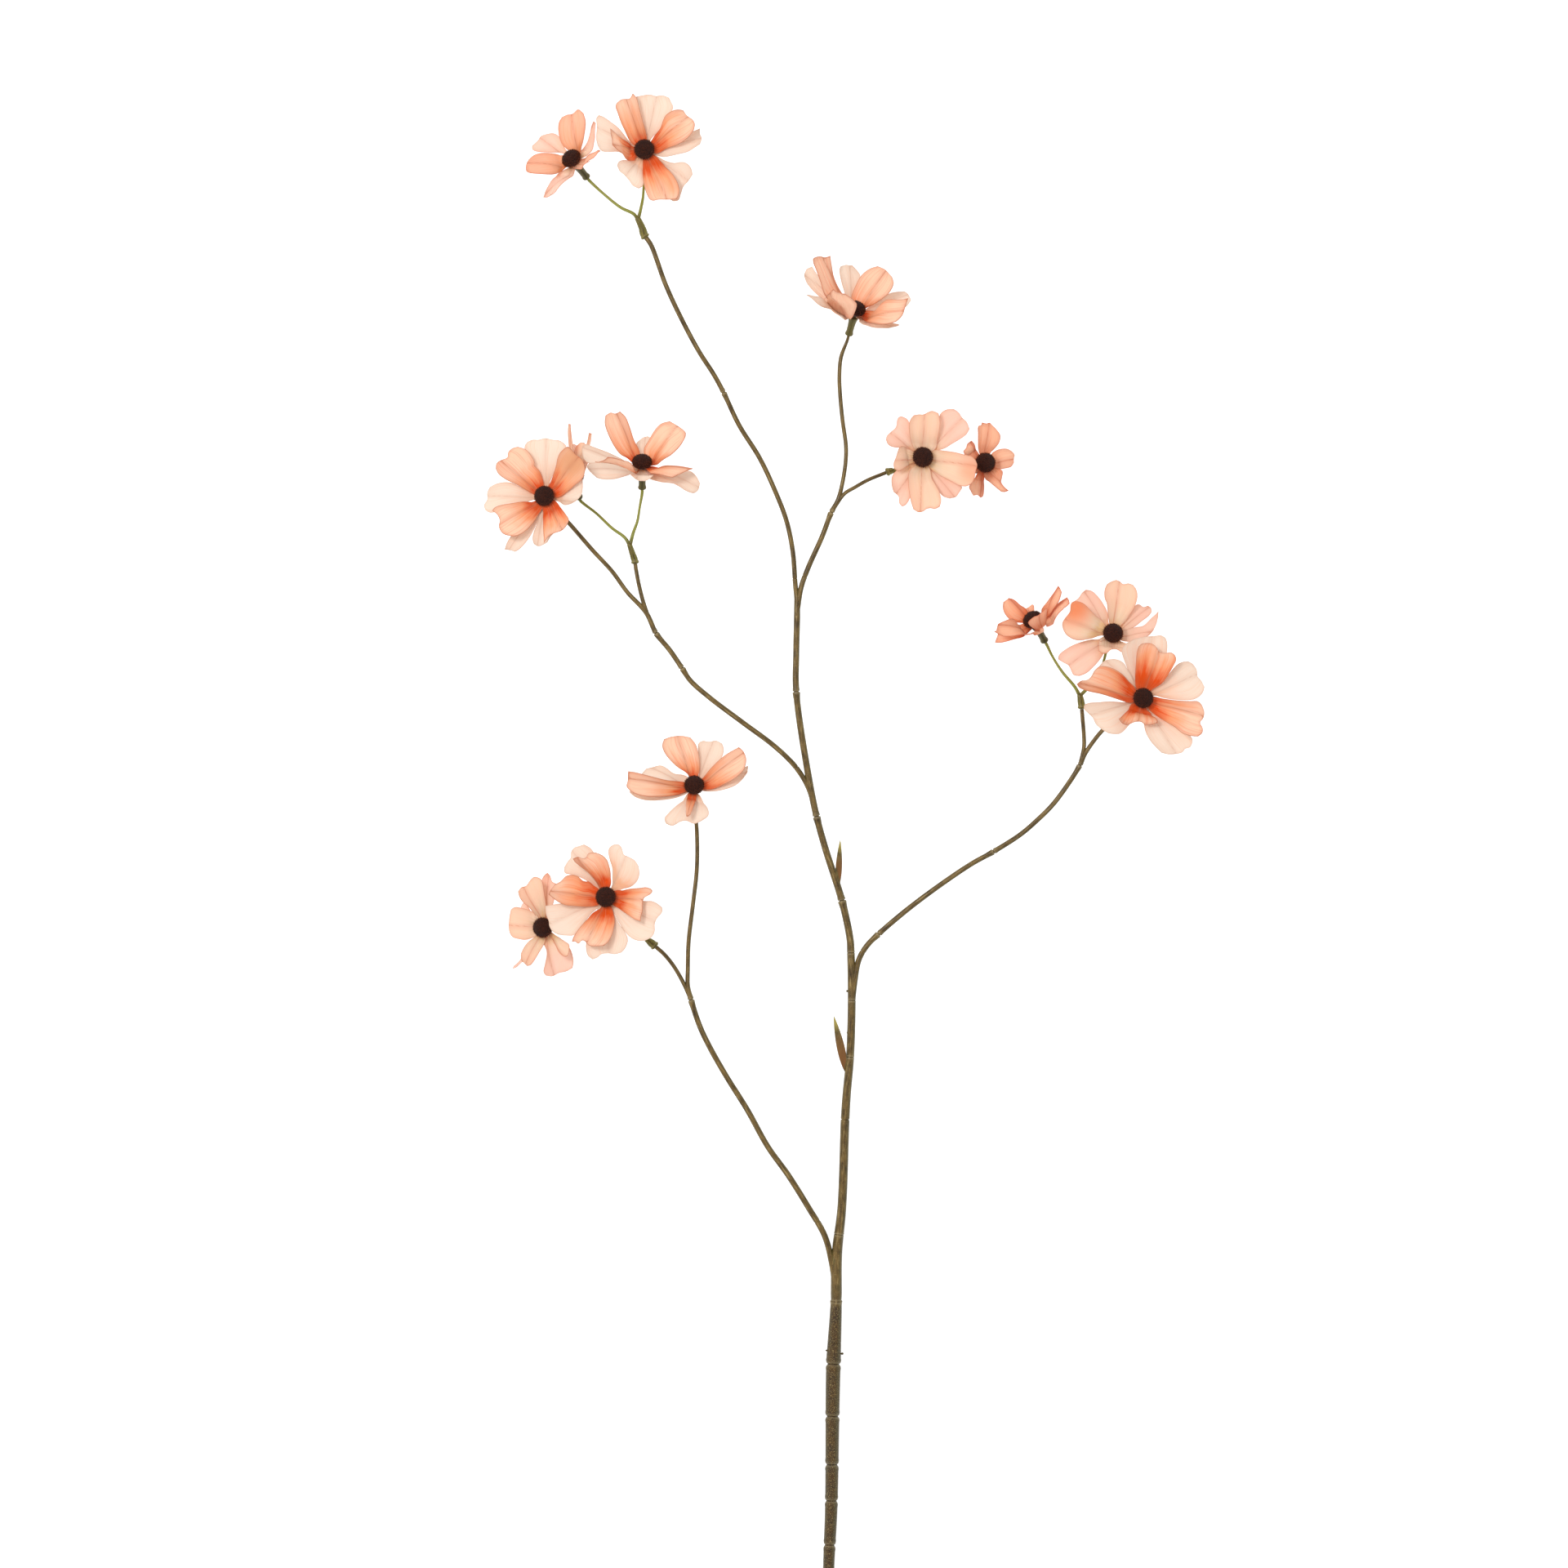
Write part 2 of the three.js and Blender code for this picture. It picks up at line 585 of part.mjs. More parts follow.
const branchBRoute = new Route([
  [1043, 1235, 14.2, 7.5], [1047, 1200, 14.8, 7.2], [1052, 1175, 15, 7], [1062, 1158, 15, 7],
  [1076, 1144, 14.9, 7], [1110, 1115, 14.5, 6.8], [1150, 1085, 14, 6.6], [1190, 1058, 13.6, 6.4],
  [1217, 1043, 13.3, 6.4], [1250, 1022, 13, 6.2], [1270, 1005, 12.8, 6.2], [1290, 985, 12.6, 6.2],
  [1310, 958, 12.5, 6.2], [1323, 937, 12.5, 6.2], [1330, 922, 12.6, 5.4], [1350, 895, 13.4, 5.2],
  [1372, 876, 16.5, 5],
], footPoints('11'));
const twigBRoute = new Route([
  [1323, 937, 12.5, 5], [1328, 915, 12.4, 5], [1328, 900, 12.2, 5], [1326, 875, 12, 5], [1325.5, 868, 12, 5],
]);
const branchCRoute = new Route([
  [1000, 1000, 16.1, 6.4], [990, 965, 16, 6.4], [975, 940, 15.8, 6.4], [950, 915, 15.5, 6.4],
  [910, 885, 15, 6.4], [870, 855, 14.5, 6.4], [845, 833, 14.2, 6.4], [835, 818, 14.1, 6.4],
  [820, 796, 14, 6.4], [803, 775, 13.9, 6.4], [791, 750, 13.8, 6], [768, 725, 13.8, 5.4],
  [749, 699, 13.9, 5.4], [725, 673, 14.4, 5.3], [698, 642, 16, 5.2], [684, 627, 18.5, 5],
], footPoints('06'));
const twigCRoute = new Route([
  [803, 775, 13.9, 5.5], [791, 748, 13.7, 5.3], [783, 720, 13.2, 5], [778.5, 697, 12.8, 5],
  [777.5, 690, 12.7, 5],
]);
const branchDLeftRoute = new Route([
  [976, 753, 15.4, 6], [975.6, 735, 15.3, 6], [973.7, 713, 15.1, 6], [970.8, 675, 14.9, 6],
  [963, 637, 14.8, 6], [948, 598, 14.8, 6], [930, 560, 15, 6], [905, 520, 15.4, 6],
  [886, 480, 15.8, 6], [874, 458, 16, 6], [856, 430, 16.1, 6], [835, 391, 15.9, 6],
  [815, 348, 15.3, 6], [797, 299, 14.2, 6], [791, 290, 14, 6],
]);
const branchDRightRoute = new Route([
  [977, 745, 15.3, 6], [981, 719, 15.2, 6.5], [990, 694, 15.1, 6.5], [1007, 656, 14.8, 6.4],
  [1018, 627, 14.4, 6.4], [1026, 612, 14.2, 5.6], [1031, 594, 14, 5.1], [1035.5, 566, 13.6, 5.1],
  [1036, 545, 13, 5.1], [1032, 515, 12.1, 5.1], [1029, 484, 11.2, 5.1], [1028, 460, 10.3, 5],
  [1030, 436, 9.4, 5],
], footPoints('03'));
const twigDRoute = new Route([
  [1021, 622, 14.3, 5], [1034, 604, 14, 4.7], [1047, 596, 13.7, 4.6], [1063, 587, 13.3, 4.6],
  [1080, 580, 13, 4.6], [1085, 578, 12.9, 4.6],
]);

// Where one moulded piece ends and the next is plugged in, in pixels of the photograph.
const JOINTS = {
  mainOnBase: [1021, 1650],
  upperOnMain: [1035, 1372],
  branchA: [1001, 1499],
  branchB: [1057, 1166],
  branchC: [975, 940],
  branchDLeft: [973.5, 708],
  branchDRight: [986, 705],
};

// Wire core, base sleeve and the two moulded stems.
const mainJoint = mainRoute.nearest(JOINTS.mainOnBase);
const upperJoint = mainRoute.nearest(JOINTS.upperOnMain);
// The wire and its bore run straight, from the cut end to the floor of the socket in the collar.
function wireRod(startOverrun, endOverrun, clearance) {
  const start = mainRoute.point(0);
  const end = mainRoute.point(mainJoint - TENON_LENGTH - 2 * GAP);
  const along = end.clone().sub(start).normalize();
  return rod(
    start.addScaledVector(along, -startOverrun),
    end.addScaledVector(along, endOverrun),
    WIRE_RADIUS + clearance,
    WIRE_SIDES,
  );
}

addPiece('wire_core', wireRod(0, 0, 0), 'wire');

const tableBlock = solidOf(new THREE.BoxGeometry(400, 900, 10).translate(0, 0, -5));
const baseSleeve = tube(mainRoute, 0, mainJoint, {
  collars: [[1021, 1661]],
  grooves: [[1017, 1895], [1018, 1843], [1018, 1797], [1019, 1739]],
  sides: BASE_SIDES,
});
addPiece(
  'stem_base',
  baseSleeve
    .subtract(wireRod(WIRE_BORE_OVERRUN, WIRE_BORE_SPARE, GAP))
    .subtract(rootPlug(mainRoute, mainJoint, MAIN_TENON_RADIUS, GAP))
    .subtract(tableBlock),
  'stem',
);

// A bract leaf rooted in the stem.
function bract(base, tip, widthPx, lift) {
  const root = spot(...base);
  const reach = spot(...tip).sub(root);
  const outward = reach.clone().normalize();
  const sideways = new THREE.Vector3(outward.y, -outward.x, 0).normalize();
  const up = new THREE.Vector3().crossVectors(sideways, outward);
  const halfWidth = widthPx * MM_PER_PX / 2;
  const rows = BRACT_ROWS.map((row) => row.map(([along, across]) => root.clone()
    .addScaledVector(reach, along)
    .addScaledVector(sideways, halfWidth * across)
    .addScaledVector(up, lift * Math.sin(Math.PI * along) + BRACT_FOLD * Math.abs(across))));
  return blade(rows, rows.map(() => up.clone().multiplyScalar(BRACT_THICK)));
}

// The short socket stub of a side branch, which is moulded on the stem below it.
function stub(route, pixel) {
  return tube(route, 0, route.nearest(pixel));
}

function stubSocket(route, pixel) {
  return rootPlug(route, route.nearest(pixel), BRANCH_TENON_RADIUS, GAP);
}

const mainStem = join([
  tube(mainRoute, mainJoint + GAP, upperJoint, { collars: [[1024, 1600]] }),
  rootPlug(mainRoute, mainJoint, MAIN_TENON_RADIUS, 0),
  stub(branchARoute, JOINTS.branchA),
])
  .subtract(rootPlug(mainRoute, upperJoint, UPPER_TENON_RADIUS, GAP))
  .subtract(stubSocket(branchARoute, JOINTS.branchA));
addPiece('stem_main', mainStem, 'stem');

const upperStem = join([
  tube(mainRoute, upperJoint + GAP, mainRoute.length, {
    collars: [[1031, 1103], [1000, 1000], [975, 847], [976, 753]],
    grooves: [[1041, 1295], [1042, 1167]],
  }),
  rootPlug(mainRoute, upperJoint, UPPER_TENON_RADIUS, 0),
  stub(branchBRoute, JOINTS.branchB),
  stub(branchCRoute, JOINTS.branchC),
  stub(branchDLeftRoute, JOINTS.branchDLeft),
  stub(branchDRightRoute, JOINTS.branchDRight),
  bract([1038, 1315, 12.6], [1022, 1245, 15.5], 9, 0.8),
  bract([1026, 1076, 15.6], [1029, 1029, 18.5], 5.5, 0.5),
])
  .subtract(stubSocket(branchBRoute, JOINTS.branchB))
  .subtract(stubSocket(branchCRoute, JOINTS.branchC))
  .subtract(stubSocket(branchDLeftRoute, JOINTS.branchDLeft))
  .subtract(stubSocket(branchDRightRoute, JOINTS.branchDRight));
addPiece('stem_upper', upperStem, 'stem');

// Side branches, each plugged in its stub, with a twig that ends in the plug for a pedicel sleeve.
function branch(route, jointPixel, collars) {
  const start = route.nearest(jointPixel);
  return join([
    tube(route, start + GAP, route.length, { collars, tenon: TENON_LENGTH + GAP }),
    rootPlug(route, start, BRANCH_TENON_RADIUS, 0),
  ]);
}

function twig(route) {
  return join([tube(route, 0, route.length), tipPlug(route, 0)]);
}

const BRANCHES = {
  branch_low_left: branch(branchARoute, JOINTS.branchA, [[846, 1225]]).add(twig(twigARoute)),
  branch_right: branch(branchBRoute, JOINTS.branchB, [[1076, 1144], [1217, 1043], [1323, 937]])
    .add(twig(twigBRoute)),
  branch_middle_left: branch(branchCRoute, JOINTS.branchC, [[835, 818], [803, 775]]).add(twig(twigCRoute)),
  branch_top_left: branch(branchDLeftRoute, JOINTS.branchDLeft, [[886, 480]])
    .add(tipPlug(branchDLeftRoute, 0)),
  branch_top_right: branch(branchDRightRoute, JOINTS.branchDRight, [[1018, 627]]).add(twig(twigDRoute)),
};
Object.entries(BRANCHES).forEach(([name, solid]) => addPiece(name, solid, 'stem'));

// Pedicel pairs: a sleeve over the twig's plug, then a thin stalk to each of two blossoms.
function pedicelPair(carrier, sleeveRows, stalks) {
  const mouth = [GAP, GAP + SLEEVE_STRAIGHT].map((distance) => (
    carrier.point(carrier.length).addScaledVector(carrier.tangent(carrier.length), distance)
  ));
  const sleeve = new Route(sleeveRows, [], mouth);
  const parts = [tube(sleeve, 0, sleeve.length)];
  Object.entries(stalks).forEach(([name, rows]) => {
    const stalk = new Route(rows, footPoints(name, PEDICEL_APPROACH));
    parts.push(tube(stalk, 0, stalk.length, { sides: PEDICEL_SIDES }), calyx(blossomNamed(name)));
  });
  return join(parts).subtract(tipPlug(carrier, GAP));
}

const PEDICELS = {
  pedicels_01_02: pedicelPair(branchDLeftRoute, [[786, 278, 14.6, 9], [780, 265, 15, 7]], {
    '01': [[781, 268, 15, 4.6], [776, 261, 15, 4.2], [760, 253, 14.4, 3.8], [740, 237, 12, 3.4]],
    '02': [[781, 268, 15, 4.6], [784, 256, 14.8, 4], [787, 240, 13, 3.4], [788, 222, 10.4, 3]],
  }),
  pedicels_04_05: pedicelPair(twigDRoute, [[1089, 576.5, 12.7, 8], [1094, 575, 12.5, 7]], {
    '04': [[1092, 575.5, 12.5, 4.6], [1102, 573, 11.8, 3.8], [1116, 569, 10.6, 3.2]],
    '05': [[1092, 575.5, 12.5, 4.6], [1108, 581, 10.4, 3.8], [1140, 588, 7, 3.4], [1176, 584, 4.2, 3]],
  }),
  pedicels_07_08: pedicelPair(twigCRoute, [[774, 677, 12.9, 7.6], [770, 665, 13, 6]], {
    '07': [[771, 668, 13, 4.6], [775, 652, 13, 4], [780, 638, 12.6, 3.4], [783, 620, 12.2, 3]],
    '08': [[771, 668, 13, 4.6], [765, 657, 13.1, 4], [745, 641, 13, 3.6], [726, 626, 12.8, 3]],
  }),
  pedicels_09_10: pedicelPair(twigBRoute, [[1324.5, 859, 12, 8], [1323, 850, 12, 7]], {
    '09': [[1323, 852, 12, 4.6], [1317, 841, 11.8, 4], [1302, 823, 10.6, 3.6], [1290, 804, 7.6, 3]],
    '10': [[1323, 852, 12, 4.6], [1330, 838, 12, 4], [1341, 818, 11, 3.4], [1350, 803, 9, 3]],
  }),
  pedicels_13_14: pedicelPair(twigARoute, [[797, 1155, 11.6, 9], [791, 1150, 11.5, 7]], {
    '13': [[793, 1152, 11.5, 4.6], [781, 1142, 11.6, 3.8], [764, 1122, 12.6, 3.2]],
    '14': [[793, 1152, 11.5, 4.6], [772, 1151, 9.8, 3.8], [738, 1148, 6.6, 3.4], [702, 1141, 4.2, 3]],
  }),
};
Object.entries(PEDICELS).forEach(([name, solid]) => addPiece(name, solid, 'pedicel'));

// Single calyx sleeves, bored for the end of their twig.
['03', '06', '11', '12'].forEach((name) => {
  const blossom = blossomNamed(name);
  const foot = -GAP - CALYX_LENGTH;
  const bore = turned(blossom, [
    [0, foot - 1],
    [TWIG_TENON_RADIUS + GAP, foot - 1],
    [TWIG_TENON_RADIUS + GAP, foot + TENON_LENGTH + GAP],
    [0, foot + TENON_LENGTH + GAP],
  ], CALYX_SIDES);
  addPiece(`calyx_${name}`, calyx(blossom).subtract(bore), 'calyx');
});

// Blossoms.
BLOSSOMS.forEach((blossom) => {
  const { name, kind } = blossom;
  addPiece(`petals_back_${name}`, petalRing(blossom, BACK_LAYER, blossom.back), `${kind}Back`);
  addPiece(`petals_front_${name}`, petalRing(blossom, FRONT_LAYER, blossom.front), `${kind}Front`);
  addPiece(`centre_${name}`, centre(blossom), 'centre');
});

export default group;
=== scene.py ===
"""Looks of the artificial cosmos spray, which lies on a table with its blossoms up. Metres, Z up."""

import math
import random

import bpy
from mathutils import Matrix, Vector, kdtree


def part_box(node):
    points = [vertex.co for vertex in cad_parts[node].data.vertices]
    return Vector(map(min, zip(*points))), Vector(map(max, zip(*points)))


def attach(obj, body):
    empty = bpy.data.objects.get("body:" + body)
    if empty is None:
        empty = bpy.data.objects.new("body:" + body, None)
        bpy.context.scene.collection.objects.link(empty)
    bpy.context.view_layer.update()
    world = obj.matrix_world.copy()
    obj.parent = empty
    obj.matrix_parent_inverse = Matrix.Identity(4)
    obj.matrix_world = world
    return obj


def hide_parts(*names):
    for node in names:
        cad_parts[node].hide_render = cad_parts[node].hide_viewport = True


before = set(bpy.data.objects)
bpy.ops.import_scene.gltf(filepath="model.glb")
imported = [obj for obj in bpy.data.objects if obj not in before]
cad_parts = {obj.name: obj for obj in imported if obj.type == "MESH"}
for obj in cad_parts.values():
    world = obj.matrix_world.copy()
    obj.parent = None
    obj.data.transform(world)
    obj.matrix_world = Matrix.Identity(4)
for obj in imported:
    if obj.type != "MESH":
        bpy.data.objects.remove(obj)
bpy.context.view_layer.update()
bpy.ops.object.select_all(action="DESELECT")

# Wire core: a drawn steel wire that shows at the cut end of the stem, straight in the bore of the sleeve.
# Its end is snipped, so it has a small burr-free chamfer.
MM = 0.001


def new_material(name, roughness, metallic=0.0):
    """A material with its node tree, shader and object coordinates."""
    material = bpy.data.materials.new(name)
    material.use_nodes = True
    tree = material.node_tree
    shader = tree.nodes["Principled BSDF"]
    shader.inputs["Roughness"].default_value = roughness
    shader.inputs["Metallic"].default_value = metallic
    place = tree.nodes.new("ShaderNodeTexCoord").outputs["Object"]
    return material, tree, shader, place


def colour(red, green, blue):
    """A colour given in 0 to 255 display values, as linear light."""
    levels = [value / 255 for value in (red, green, blue)]
    return tuple(v / 12.92 if v <= 0.04045 else ((v + 0.055) / 1.055) ** 2.4 for v in levels) + (1.0,)


def noise(tree, where, scale, detail=3.0, roughness=0.55):
    """A cloudy pattern, from 0 to 1."""
    node = tree.nodes.new("ShaderNodeTexNoise")
    node.inputs["Scale"].default_value = scale
    node.inputs["Detail"].default_value = detail
    node.inputs["Roughness"].default_value = roughness
    tree.links.new(where, node.inputs["Vector"])
    return node.outputs["Fac"]


def ramp(tree, value, *stops):
    """Colours along a value: each stop is a position and a colour."""
    node = tree.nodes.new("ShaderNodeValToRGB")
    elements = node.color_ramp.elements
    while len(elements) < len(stops):
        elements.new(0.5)
    for element, (position, tint) in zip(elements, stops):
        element.position = position
        element.color = tint
    tree.links.new(value, node.inputs["Fac"])
    return node.outputs["Color"]


def grey(level):
    return (level, level, level, 1.0)


def stretched(tree, where, scale):
    """Coordinates scaled by three factors."""
    node = tree.nodes.new("ShaderNodeMapping")
    node.inputs["Scale"].default_value = scale
    tree.links.new(where, node.inputs["Vector"])
    return node.outputs["Vector"]


def settle(piece, node, slot, *materials):
    """Gives a finished piece its materials and its body, and hides the node it stands for, if any; its slot
    is not used.
    """
    piece.data.materials.clear()
    for material in materials:
        piece.data.materials.append(material)
    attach(piece, "root")
    if node:
        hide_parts(node)


WIRE_RADIUS = 1.2 * MM
WIRE_CHAMFER = 0.15 * MM
ROUND_SIDES = 24

low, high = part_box("wire_core")
wire_start = Vector((low.x + WIRE_RADIUS, low.y, low.z + WIRE_RADIUS))
wire_end = Vector((high.x - WIRE_RADIUS, high.y, high.z - WIRE_RADIUS))
wire_run = wire_end - wire_start
bpy.ops.mesh.primitive_cylinder_add(
    vertices=ROUND_SIDES,
    radius=WIRE_RADIUS,
    depth=wire_run.length,
    location=(wire_start + wire_end) / 2,
    rotation=wire_run.to_track_quat("Z", "Y").to_euler(),
)
wire = bpy.context.object
wire.name = "wire"
bpy.ops.object.transform_apply(location=True, rotation=True, scale=True)
wire_edges = wire.modifiers.new("snipped edge", "BEVEL")
wire_edges.width = WIRE_CHAMFER
wire_edges.segments = 2
bpy.ops.object.modifier_apply(modifier=wire_edges.name)
bpy.ops.object.shade_smooth_by_angle(angle=math.radians(40))
steel, tree, shader, place = new_material("drawn steel", roughness=0.35, metallic=1.0)
drawing_marks = noise(tree, stretched(tree, place, (9000, 300, 9000)), scale=1.0, detail=2.0)
tree.links.new(
    ramp(tree, drawing_marks, (0.3, colour(120, 120, 118)), (0.7, colour(170, 170, 166))),
    shader.inputs["Base Color"],
)
tree.links.new(
    ramp(tree, drawing_marks, (0.2, grey(0.28)), (0.8, grey(0.5))),
    shader.inputs["Roughness"],
)
settle(wire, "wire_core", "wire", steel)

# Base sleeve: the thick moulded plastic sleeve over the wire, olive brown, with a pebbled skin,
# five narrow waists where the mould imitates nodes, and two small lugs at its top.
PIXEL = 0.4 * MM
ORIGIN_X, ORIGIN_Y = 1034.5, 1067.5
GAP = 0.3 * MM
NECK_CLEAR = 0.03 * MM
STEPS_A_SPAN = 14
MAIN_LINE = [
    (1013, 2020, 2.65, 14), (1015, 1920, 2.65, 14), (1018, 1850, 2.9, 15.5), (1020, 1700, 3.41, 17.8),
    (1021, 1665, 3.5, 18), (1024, 1600, 4.6, 14), (1025, 1537, 6.5, 13), (1031, 1480, 8.3, 11),
    (1035, 1372, 11.5, 11), (1037, 1340, 12.3, 10.5), (1041, 1295, 13.2, 10), (1043, 1230, 14.3, 10),
    (1042, 1167, 15, 9.5), (1041, 1150, 15.2, 9), (1031, 1103, 15.6, 9), (1011, 1040, 16, 8.5),
    (1000, 1000, 16.1, 8.3), (990, 950, 16.2, 8.3), (975, 847, 16, 8), (975, 800, 15.7, 7.7),
    (976, 753, 15.4, 8), (976, 730, 15.2, 7),
]
STEM_STEP = 1.6 * MM
STEM_BEVEL_SEGMENTS = 4
# Outlines of the marks on a stem: offsets along it in millimetres and shares of its radius.
RING_GROOVE = [(-1.2, 1.0), (-0.4, 1.03), (-0.12, 0.95), (0.12, 0.95), (0.4, 1.04), (1.2, 1.0)]
COLLAR = [(-4.0, 1.0), (-1.6, 1.12), (-0.7, 1.2), (-0.2, 1.14), (0.0, 0.76), (0.3, 0.76), (0.45, 1.08),
          (1.0, 1.1), (2.4, 1.0)]
NODE_WAIST = [(-3.2, 1.0), (-2.0, 1.05), (-1.1, 1.0), (-0.5, 0.88), (-0.15, 0.8), (0.15, 0.8),
              (0.4, 0.9), (0.9, 1.0), (2.0, 1.05), (3.2, 1.0)]
RING_REACH = 1.3 * MM
GROOVE_HALF = 0.16 * MM
# How a tip is rounded: millimetres from the tip and shares of the radius.
ROUND_END = [(0.0, 0.82), (0.12, 0.94), (0.35, 1.0)]
UP = Vector((0, 0, 1))
# Where every ring and collar is made, and the way its stem runs there.
ring_places = []


def spot(px, py, z=0.0):
    """The place of a pixel of the photograph, z millimetres over the table."""
    return Vector(((px - ORIGIN_X) * PIXEL, (ORIGIN_Y - py) * PIXEL, z * MM))


def feed(tree, socket, value):
    """Gives a socket a number, a colour or another socket."""
    if isinstance(value, bpy.types.NodeSocket):
        tree.links.new(value, socket)
    else:
        socket.default_value = value


def mixed(tree, share, first, second, mode="MIX"):
    """Two colours mixed by a share, which is a number or a socket."""
    node = tree.nodes.new("ShaderNodeMix")
    node.data_type = "RGBA"
    node.blend_type = mode
    for socket, value in zip((node.inputs[0], node.inputs[6], node.inputs[7]), (share, first, second)):
        feed(tree, socket, value)
    return node.outputs[2]


def sums(tree, operation, first, second):
    """One arithmetic step on numbers or sockets."""
    node = tree.nodes.new("ShaderNodeMath")
    node.operation = operation
    for socket, value in zip(node.inputs, (first, second)):
        feed(tree, socket, value)
    return node.outputs[0]


def bump(tree, shader, height, depth, strength=1.0):
    """Relief of a depth in metres on a shader."""
    node = tree.nodes.new("ShaderNodeBump")
    node.inputs["Distance"].default_value = depth
    node.inputs["Strength"].default_value = strength
    tree.links.new(height, node.inputs["Height"])
    tree.links.new(node.outputs["Normal"], shader.inputs["Normal"])


def painted(piece, label, rule):
    """Keeps a number for each vertex of a piece, from its place."""
    values = [float(rule(vertex.co)) for vertex in piece.data.vertices]
    piece.data.attributes.new(label, "FLOAT", "POINT").data.foreach_set("value", values)


def attribute(tree, label):
    """A number kept on the vertices, or 0 where a piece has none."""
    reader = tree.nodes.new("ShaderNodeAttribute")
    reader.attribute_name = label
    return reader.outputs["Fac"]


def runs_of(points):
    """How far along a path each of its points lies."""
    runs = [0.0]
    for before, after in zip(points, points[1:]):
        runs.append(runs[-1] + (after - before).length)
    return runs


def line_of(rows, lead=(), tail=(), tail_radius=0.75 * MM):
    """A smooth line through rows of pixel x, pixel y, height and width: points, radii and distances."""
    knots = [Vector(p) for p in lead] + [spot(*row[:3]) for row in rows] + [Vector(p) for p in tail]
    widths = [row[3] * PIXEL / 2 for row in rows]
    widths = [widths[0]] * len(lead) + widths + [tail_radius] * len(tail)
    ends = [knots[0] * 2 - knots[1], *knots, knots[-1] * 2 - knots[-2]]
    points, radii = [], []
    for i in range(len(knots) - 1):
        a, b, c, d = ends[i:i + 4]
        first, middle, last = ((q - p).length ** 0.5 for p, q in ((a, b), (b, c), (c, d)))
        leave = ((b - a) / first - (c - a) / (first + middle) + (c - b) / middle) * middle
        arrive = ((c - b) / middle - (d - b) / (middle + last) + (d - c) / last) * middle
        for step in range(STEPS_A_SPAN):
            t = step / STEPS_A_SPAN
            points.append(
                b + leave * t + (c * 3 - b * 3 - leave * 2 - arrive) * t ** 2
                + (b * 2 - c * 2 + leave + arrive) * t ** 3
            )
            radii.append(widths[i] + (widths[i + 1] - widths[i]) * t)
    points.append(knots[-1])
    radii.append(widths[-1])
    return points, radii, runs_of(points)


def at(line, distance):
    """The point and radius at a distance along a line."""
    points, radii, reach = line
    distance = min(max(distance, 0.0), reach[-1])
    i = min(sum(1 for r in reach[1:] if r < distance), len(points) - 2)
    t = (distance - reach[i]) / (reach[i + 1] - reach[i])
    return points[i].lerp(points[i + 1], t), radii[i] + (radii[i + 1] - radii[i]) * t


def nearest(line, px, py):
    """The distance along a line that passes nearest a pixel of the photograph."""
    points, _, reach = line
    target = spot(px, py)
    gaps = [(point.xy - target.xy).length for point in points]
    return reach[gaps.index(min(gaps))]


def tube(name, line, start, end, marks=(), round_ends=(True, True), joint=None):
    """A stem along part of a line. Each mark is a distance along the line and its outline."""
    stations = {}
    count = max(2, round((end - start) / STEM_STEP))
    for i in range(count + 1):
        stations[start + (end - start) * i / count] = 1.0
    for middle, outline in marks:
        before, after = (at(line, middle + step * MM)[0] for step in (-1, 1))
        ring_places.append(((before + after) / 2, (after - before).normalized()))
        reach = [middle + offset * MM for offset, _ in outline]
        for distance in [d for d in stations if reach[0] < d < reach[-1]]:
            del stations[distance]
        for distance, (_, swell) in zip(reach, outline):
            if start < distance < end:
                stations[distance] = swell
    if joint:
        del stations[start]
        for distance in [d for d in stations if d < start + MM]:
            del stations[distance]
        for offset, swell in joint[1]:
            stations[max(start, joint[0] + offset * MM)] = swell
    for is_round, tip, inward in ((round_ends[0], start, 1), (round_ends[1], end, -1)):
        if is_round:
            for offset, swell in ROUND_END:
                stations[tip + inward * offset * MM] = swell
    bpy.ops.curve.primitive_nurbs_path_add()
    stem = bpy.context.object
    stem.name = name
    shape = stem.data
    shape.splines.clear()
    spline = shape.splines.new("POLY")
    ordered = sorted(stations)
    spline.points.add(len(ordered) - 1)
    for control, distance in zip(spline.points, ordered):
        point, radius = at(line, distance)
        control.co = (*point, 1.0)
        control.radius = radius * stations[distance] / MM
    shape.dimensions = "3D"
    shape.bevel_depth = MM
    shape.bevel_resolution = STEM_BEVEL_SEGMENTS
    shape.use_fill_caps = True
    bpy.ops.object.convert(target="MESH")
    bpy.ops.object.mode_set(mode="EDIT")
    bpy.ops.mesh.select_all(action="SELECT")
    bpy.ops.mesh.remove_doubles(threshold=0.002 * MM)
    bpy.ops.mesh.normals_make_consistent(inside=False)
    bpy.ops.object.mode_set(mode="OBJECT")
    bpy.ops.object.select_all(action="DESELECT")
    return stem


def combined(whole, piece, operation):
    """Adds a piece to a whole or cuts it out of the whole, and removes the piece."""
    step = whole.modifiers.new("combined", "BOOLEAN")
    step.operation = operation
    step.solver = "EXACT"
    step.object = piece
    bpy.context.view_layer.objects.active = whole
    bpy.ops.object.modifier_apply(modifier=step.name)
    bpy.data.objects.remove(piece)


def fused(name, whole, *others):
    """Pieces moulded in one: others are added to the first and removed."""
    for other in others:
        combined(whole, other, "UNION")
    whole.name = name
    whole.select_set(True)
    bpy.context.view_layer.objects.active = whole
    bpy.ops.object.shade_smooth_by_angle(angle=math.radians(35))
    bpy.ops.object.select_all(action="DESELECT")
    return whole


